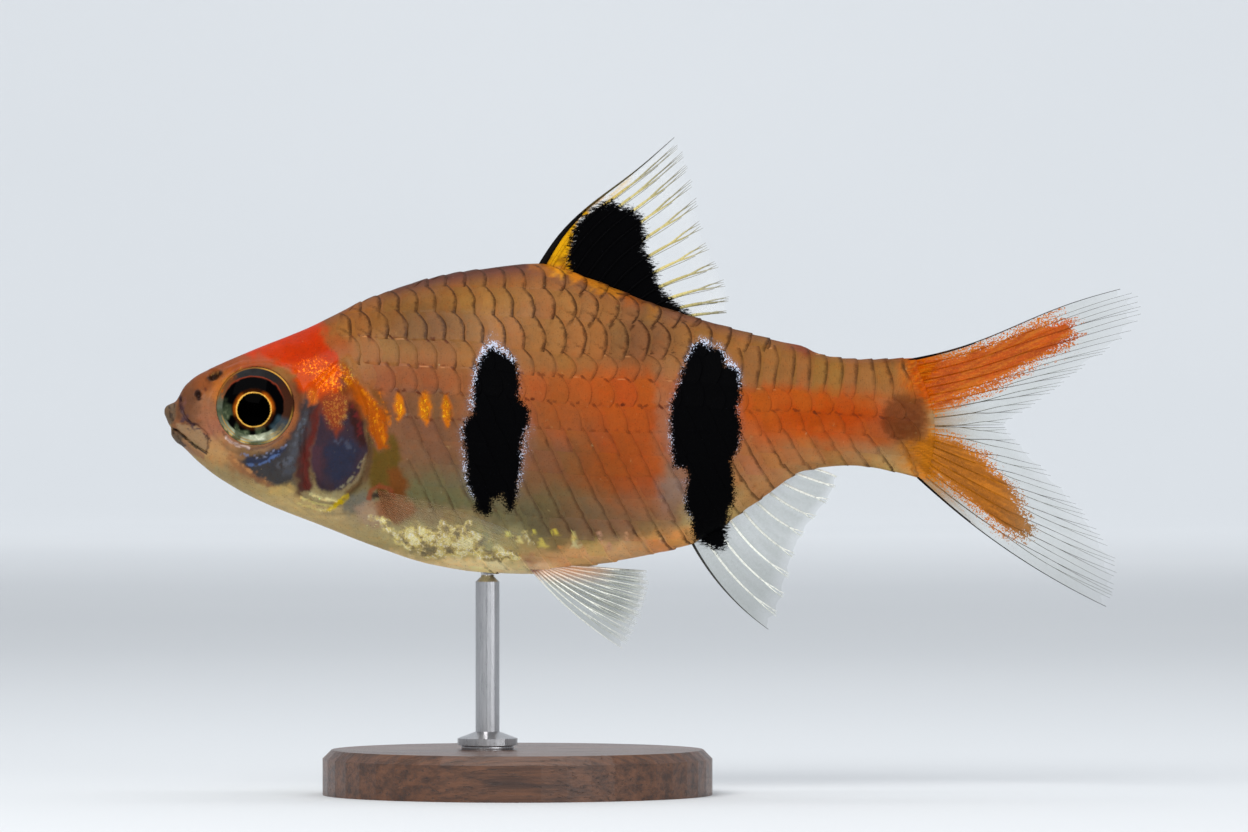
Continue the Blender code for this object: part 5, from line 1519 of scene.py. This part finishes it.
def makeFin(replaced, shape, sheetY, tintOf, inkShapes=()):
    name = replaced + "_web"
    chance = random.Random(sum(map(ord, name)))
    rootX, rootZ = curveOf(shape["root"], 0), curveOf(shape["root"], 1)
    tipX, tipZ = curveOf(shape["tips"], 0), curveOf(shape["tips"], 1)

    def spot(across, share):
        # a place on the fin: 0 to 1 from the first ray to the last, and from the root to the tips
        across, share = np.broadcast_arrays(np.clip(across, 0, 1), share)
        sx, sz, ex, ez = rootX(across), rootZ(across), tipX(across), tipZ(across)
        dx, dz = ex - sx, ez - sz
        size = np.hypot(dx, dz)
        bow = between(shape["bow"], across)
        hook = between(shape.get("hook", (0.0, 0.0)), across)
        arch = bow * 4 * share * (1 - share) - hook * np.sin(2 * math.pi * share)
        return sx + dx * share - dz / size * arch, sz + dz * share + dx / size * arch

    rays = shape["rays"]
    places = (np.arange(rays) / (rays - 1)) ** shape.get("crowd", 1.0)
    gaps = 1.0 / (rays - 1)
    # web
    perGap, steps = 6, 40
    across = np.linspace(0, 1, (rays - 1) * perGap + 1)[None, :]
    share = np.linspace(0, 1, steps + 1)[:, None]
    offMiddle = np.abs(((across * (rays - 1)) % 1.0) - 0.5) * 2
    reach = 0.945 + 0.035 * offMiddle ** 2 + 0.02 * (softNoise(across * 60, across * 0, 1.0, 3) - 0.5)
    x, z = spot(across, share * reach)
    sag = 0.05 * np.sin(across * (rays - 1) * 2 * math.pi) * share
    webX, webZ = x.ravel(), z.ravel()
    webY = sheetY(webX, webZ) + sag.ravel()
    points = [np.stack([webX, webY, webZ], -1)]
    faces = gridFaces(steps + 1, across.size)
    slots = [0] * len(faces)
    tint, cover, pigment, dab = tintOf(webX, webZ, False)
    fade = smoothStep(1.02, 0.8, (share * np.ones_like(across)).ravel())
    fade = fade * (0.75 + 0.5 * softNoise(across * 70 + 0 * share, share * 3 + 0 * across, 1.0, 31).ravel())
    tints, covers, alongs = [tint], [cover * (0.35 + 0.65 * fade)], [np.zeros(len(webX))]
    pigments, dabs = [pigment], [dab]
    count = len(webX)

    def addRay(across, shares, radii, many, start=0.0, dark=0.0, fade=(1.0, 1.0)):
        # a tube of that many rings; start is the length before it, and the length at its end is returned
        nonlocal count
        t = np.linspace(0, 1, many)
        px, pz = spot(between(across, smoothStep(0, 1, t)), between(shares, t))
        path = np.stack([px, sheetY(px, pz), pz], -1)
        radii = np.linspace(*radii, many)
        sides = 5
        direction = np.gradient(path, axis=0)
        direction /= np.linalg.norm(direction, axis=1, keepdims=True)
        one = np.cross(direction, [0, 1, 0])
        one /= np.linalg.norm(one, axis=1, keepdims=True)
        two = np.cross(direction, one)
        rings = []
        for k in range(sides):
            turn = 2 * math.pi * k / sides
            rings.append(path + radii[:, None] * (one * math.cos(turn) + 0.6 * two * math.sin(turn)))
        ring = np.stack(rings, 1).reshape(-1, 3)
        made = gridFaces(many, sides, wrap=True, first=count)
        made.append(tuple(count + len(ring) - sides + k for k in range(sides)))
        length = np.concatenate([[0], np.cumsum(np.linalg.norm(np.diff(path, axis=0), axis=1))]) + start
        points.append(ring)
        faces.extend(made)
        slots.extend([1] * len(made))
        rayTint, rayCover, pigment, dab = tintOf(ring[:, 0], ring[:, 2], True)
        pigments.append(pigment)
        dabs.append(dab)
        rayTint = blend(rayTint, srgb(16, 14, 13), np.repeat(np.zeros(many) + dark, sides))
        tints.append(rayTint * (0.85 + 0.3 * chance.random()))
        paling = np.repeat(np.linspace(*fade, many), sides)
        covers.append(paling * (rayCover if shape.get("veiled") else 1.0))
        alongs.append(np.repeat(length, sides))
        count += len(ring)
        return length[-1]

    thick = shape["thick"]
    for i, a in enumerate(places):
        end = 0.985 + 0.02 * chance.random()
        if i == 0:
            leadDark = np.linspace(*shape.get("leadDark", (0.0, 0.0)), 24)
            addRay((0.0, 0.0), (0.0, end), (max(thick, 0.05), 0.018), 24, dark=leadDark)
            continue
        firstSplit = shape["splits"][0] + 0.08 * chance.random()
        nextSplit = shape["splits"][1] + 0.06 * chance.random()
        spread = shape["spread"] * gaps
        done = addRay((a, a), (0.0, firstSplit), (thick, thick * 0.7), 12)
        if "shadow" in shape:
            below = a + 0.09 * gaps
            addRay((below, below + 0.1 * gaps), (0.05, nextSplit), (0.03, 0.018), 14, dark=shape["shadow"])
        for s1 in (-1, 1):
            mid = a + s1 * spread
            more = addRay((a, mid), (firstSplit, nextSplit), (thick * 0.55, thick * 0.42), 8, done)
            for s2 in (-1, 1):
                tipAt = mid + s2 * spread * 0.55
                tipEnd = end + 0.02 * (chance.random() - 0.5)
                if s2 > 0 and chance.random() < shape.get("single", 0.0):
                    continue
                addRay((mid, tipAt), (nextSplit, tipEnd), (thick * 0.32, 0.014), 9, more, fade=(1.0, 0.3))
    for a, start, end, radius in shape.get("spines", []):
        addRay((a, a), (start, end), (radius, 0.02), 12, dark=1.0)
    points = np.vstack(points)
    made = addObject(name, points, faces, [finWeb, finRay])
    made.data.polygons.foreach_set("material_index", slots)
    addValues(made, "tint", np.vstack(tints))
    addValues(made, "cover", np.concatenate(covers))
    addValues(made, "pigment", np.vstack(pigments))
    addValues(made, "dab", np.clip(np.concatenate(dabs), -clearDistance, clearDistance))
    addValues(made, "along", np.concatenate(alongs))
    ink = farAway(points)
    for outline in inkShapes:
        ink = np.minimum(ink, distanceToShape(points[:, 0], points[:, 2], outline))
    addValues(made, "ink", np.clip(ink, -clearDistance, clearDistance))
    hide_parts(replaced)
    return made


def makeFins():
    def flat(x, z):
        return np.zeros(np.shape(x))

    def tailWave(x, z):
        return 0.12 * np.sin((x - 50) * 0.5) * smoothStep(50, 56, x)

    makeFin("dorsal_fin", fins["dorsal_fin"], flat, dorsalTint, [dorsalInk])
    makeFin("anal_fin", fins["anal_fin"], flat, clearTint, [barShapes[1]])
    for lobe in ("tail_fin_upper", "tail_fin_lower"):
        makeFin(lobe, fins[lobe], tailWave, tailTint)
    x0, z0 = fins["pelvic_fin_left"]["root"][0]
    rootY = float(flankWidth(x0, z0)) + 0.09
    for word, side in (("left", -1), ("right", 1)):
        def pelvicSheet(x, z, side=side):
            return side * (rootY - 0.35 + 0.35 * (z0 - z))

        def pectoralSheet(x, z, side=side):
            off = flankWidth(x, z) + 0.12 + 0.58 * smoothStep(14.2, 16.5, x) + 0.09 * (x - 14.25)
            return side * off

        shape = dict(fins["pelvic_fin_left"])
        if side > 0:  # the far one is held a little higher
            last = len(shape["tips"]) - 1
            shape["tips"] = [(x + 0.15 * 1.6, z + 1.6 * (1 - i / last))
                             for i, (x, z) in enumerate(shape["tips"])]
        makeFin("pelvic_fin_" + word, shape, pelvicSheet, clearTint)
        makeFin("pectoral_fin_" + word, fins["pectoral_fin_left"], pectoralSheet, sideFinTint)


makeFins()

print("stage: stand")


def makeWood():
    made, tree, shader = newMaterial("oiledWalnut")
    place = inMillimetres(tree)
    bands = noise(tree, stretched(tree, place, (0.05, 1.0, 1.0)), 1.5, 5.0, 0.7)
    pores = noise(tree, stretched(tree, place, (0.07, 1.6, 1.6)), 3.2, 3.0, 0.7)
    ramp = node(tree, "ShaderNodeValToRGB", {0: mapped(tree, bands, 0.3, 0.7)})
    ramp.color_ramp.elements[0].color = rgba(56, 33, 21)
    ramp.color_ramp.elements[1].color = rgba(108, 68, 43)
    dark = mapped(tree, pores, 0.58, 0.66)
    colour = mixed(tree, times(tree, dark, 0.6), ramp.outputs[0], rgba(30, 17, 11))
    connect(tree, shader, {"Base Color": colour, "Roughness": timesPlus(tree, pores, 0.3, 0.28),
                           "Coat Weight": 0.25, "Coat Roughness": 0.2})
    addBump(tree, shader, timesPlus(tree, dark, -1.0, pores), 0.00008, 0.5)
    return made


def makeSteel():
    made, tree, shader = newMaterial("brushedSteel")
    place = inMillimetres(tree)
    lines = noise(tree, stretched(tree, place, (6.0, 6.0, 0.25)), 2.0, 3.0, 0.7)
    connect(tree, shader, {"Base Color": mixed(tree, lines, rgba(150, 150, 153), rgba(206, 206, 208)),
                           "Roughness": timesPlus(tree, lines, 0.25, 0.18), "Metallic": 1.0})
    addBump(tree, shader, lines, 0.00002, 0.35)
    return made


for name, material in (("stand_base", makeWood()), ("stand_rod", makeSteel())):
    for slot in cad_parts[name].material_slots:
        slot.material = material

stand = {"rodX": 21.5, "pinRadius": 0.45, "pinReach": 1.2, "rodGap": 0.3, "washerRadius": 1.75,
         "baseTop": 3.0}


def turnedPiece(name, profile, material, sides=40):
    # a round piece about the rod's axis from (radius, height above the floor) pairs
    points = []
    for radius, height in profile:
        for k in range(sides):
            turn = 2 * math.pi * k / sides
            points.append((stand["rodX"] + radius * math.cos(turn), radius * math.sin(turn),
                           height - placing["axisHeight"]))
    faces = [f[::-1] for f in gridFaces(len(profile), sides, wrap=True)]
    faces += [tuple(range(sides))[::-1], tuple(len(points) - sides + k for k in range(sides))]
    return addObject(name, points, faces, [material])


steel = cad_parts["stand_rod"].material_slots[0].material
rodTop = float(belly(stand["rodX"])) + placing["axisHeight"] - stand["rodGap"]
pin = stand["pinRadius"]
turnedPiece("rod_pin", [(pin, rodTop - 0.4), (pin, rodTop + 0.12), (pin * 0.86, rodTop + 0.16),
                        (pin, rodTop + 0.2), (pin, rodTop + stand["pinReach"])], steel)
washer, top = stand["washerRadius"], stand["baseTop"]
turnedPiece("foot_washer", [(washer - 0.06, top - 0.05), (washer, top + 0.05), (washer, top + 0.26),
                            (washer - 0.06, top + 0.32)], steel)

print("stage: room, lights and camera")
room = {"halfWide": 2.0, "bend": 0.6, "backY": 2.2, "top": 2.4}
lights = {  # place, aim, size, power and colour
    "key": ((-0.16, -0.34, 0.30), (0, 0, 0.03), (0.26, 0.2), 1.3, (1.0, 0.98, 0.95)),
    "fill": ((0.28, -0.36, 0.10), (0, 0, 0.03), (0.3, 0.3), 0.6, (0.98, 0.99, 1.0)),
    "top": ((0.0, 0.06, 0.42), (0, 0, 0.03), (0.4, 0.3), 0.8, (1, 1, 1)),
    "wall": ((0.0, 1.2, 1.2), (0, 2.2, 0.2), (1.6, 0.4), 11.0, (1, 1, 1)),
    "floor": ((0.0, 0.85, 1.0), (0, 0.85, 0), (1.8, 0.9), 2.6, (1, 1, 1)),
}
worldLight = {"colour": (0.86, 0.9, 0.95, 1), "strength": 0.42}
camera = {"sensorWidth": 36, "lens": 259.6, "clipStart": 0.01, "place": (-0.0019, -0.6, 0.02523)}


def makeRoom():
    line = [(-2.0, 0.0), (-0.3, 0.0), (0.0, 0.0), (room["backY"] - room["bend"], 0.0)]
    for i in range(1, 17):
        turn = math.pi / 2 * i / 16
        line.append((room["backY"] - room["bend"] + room["bend"] * math.sin(turn),
                     room["bend"] * (1 - math.cos(turn))))
    line.append((room["backY"], room["top"]))
    vertices = [(x, y, z) for y, z in line for x in (-room["halfWide"], room["halfWide"])]
    mesh = bpy.data.meshes.new("paleRoom")
    mesh.from_pydata(vertices, [], gridFaces(len(line), 2))
    mesh.polygons.foreach_set("use_smooth", [True] * len(mesh.polygons))
    made = linked("paleRoom", mesh)
    material, tree, shader = newMaterial("paleCard")
    place = node(tree, "ShaderNodeTexCoord").outputs["Object"]
    cloud = noise(tree, place, 3.0, 2.0)
    connect(tree, shader, {"Base Color": mixed(tree, cloud, rgba(214, 218, 222), rgba(224, 227, 230)),
                           "Roughness": 0.9, "Specular IOR Level": 0.1})
    mesh.materials.append(material)


def makeLights():
    for name, (place, aim, size, power, colour) in lights.items():
        data = bpy.data.lights.new(name, "AREA")
        data.shape = "RECTANGLE"
        data.size, data.size_y = size
        data.energy = power
        data.color = colour
        made = linked(name, data)
        made.location = place
        made.rotation_euler = (Vector(aim) - Vector(place)).to_track_quat("-Z", "Y").to_euler()
    world = bpy.data.worlds.new("paleRoomLight")
    world.use_nodes = True
    background = world.node_tree.nodes["Background"]
    background.inputs[0].default_value = worldLight["colour"]
    background.inputs[1].default_value = worldLight["strength"]
    bpy.context.scene.world = world


def makeCamera():
    data = bpy.data.cameras.new("sideCamera")
    data.sensor_width = camera["sensorWidth"]
    data.lens = camera["lens"]
    data.clip_start = camera["clipStart"]
    made = linked("sideCamera", data)
    made.location = camera["place"]
    made.rotation_euler = (math.pi / 2, 0, 0)
    bpy.context.scene.camera = made


makeRoom()
makeLights()
makeCamera()
bpy.context.scene.view_settings.view_transform = "Standard"

print("stage: done")
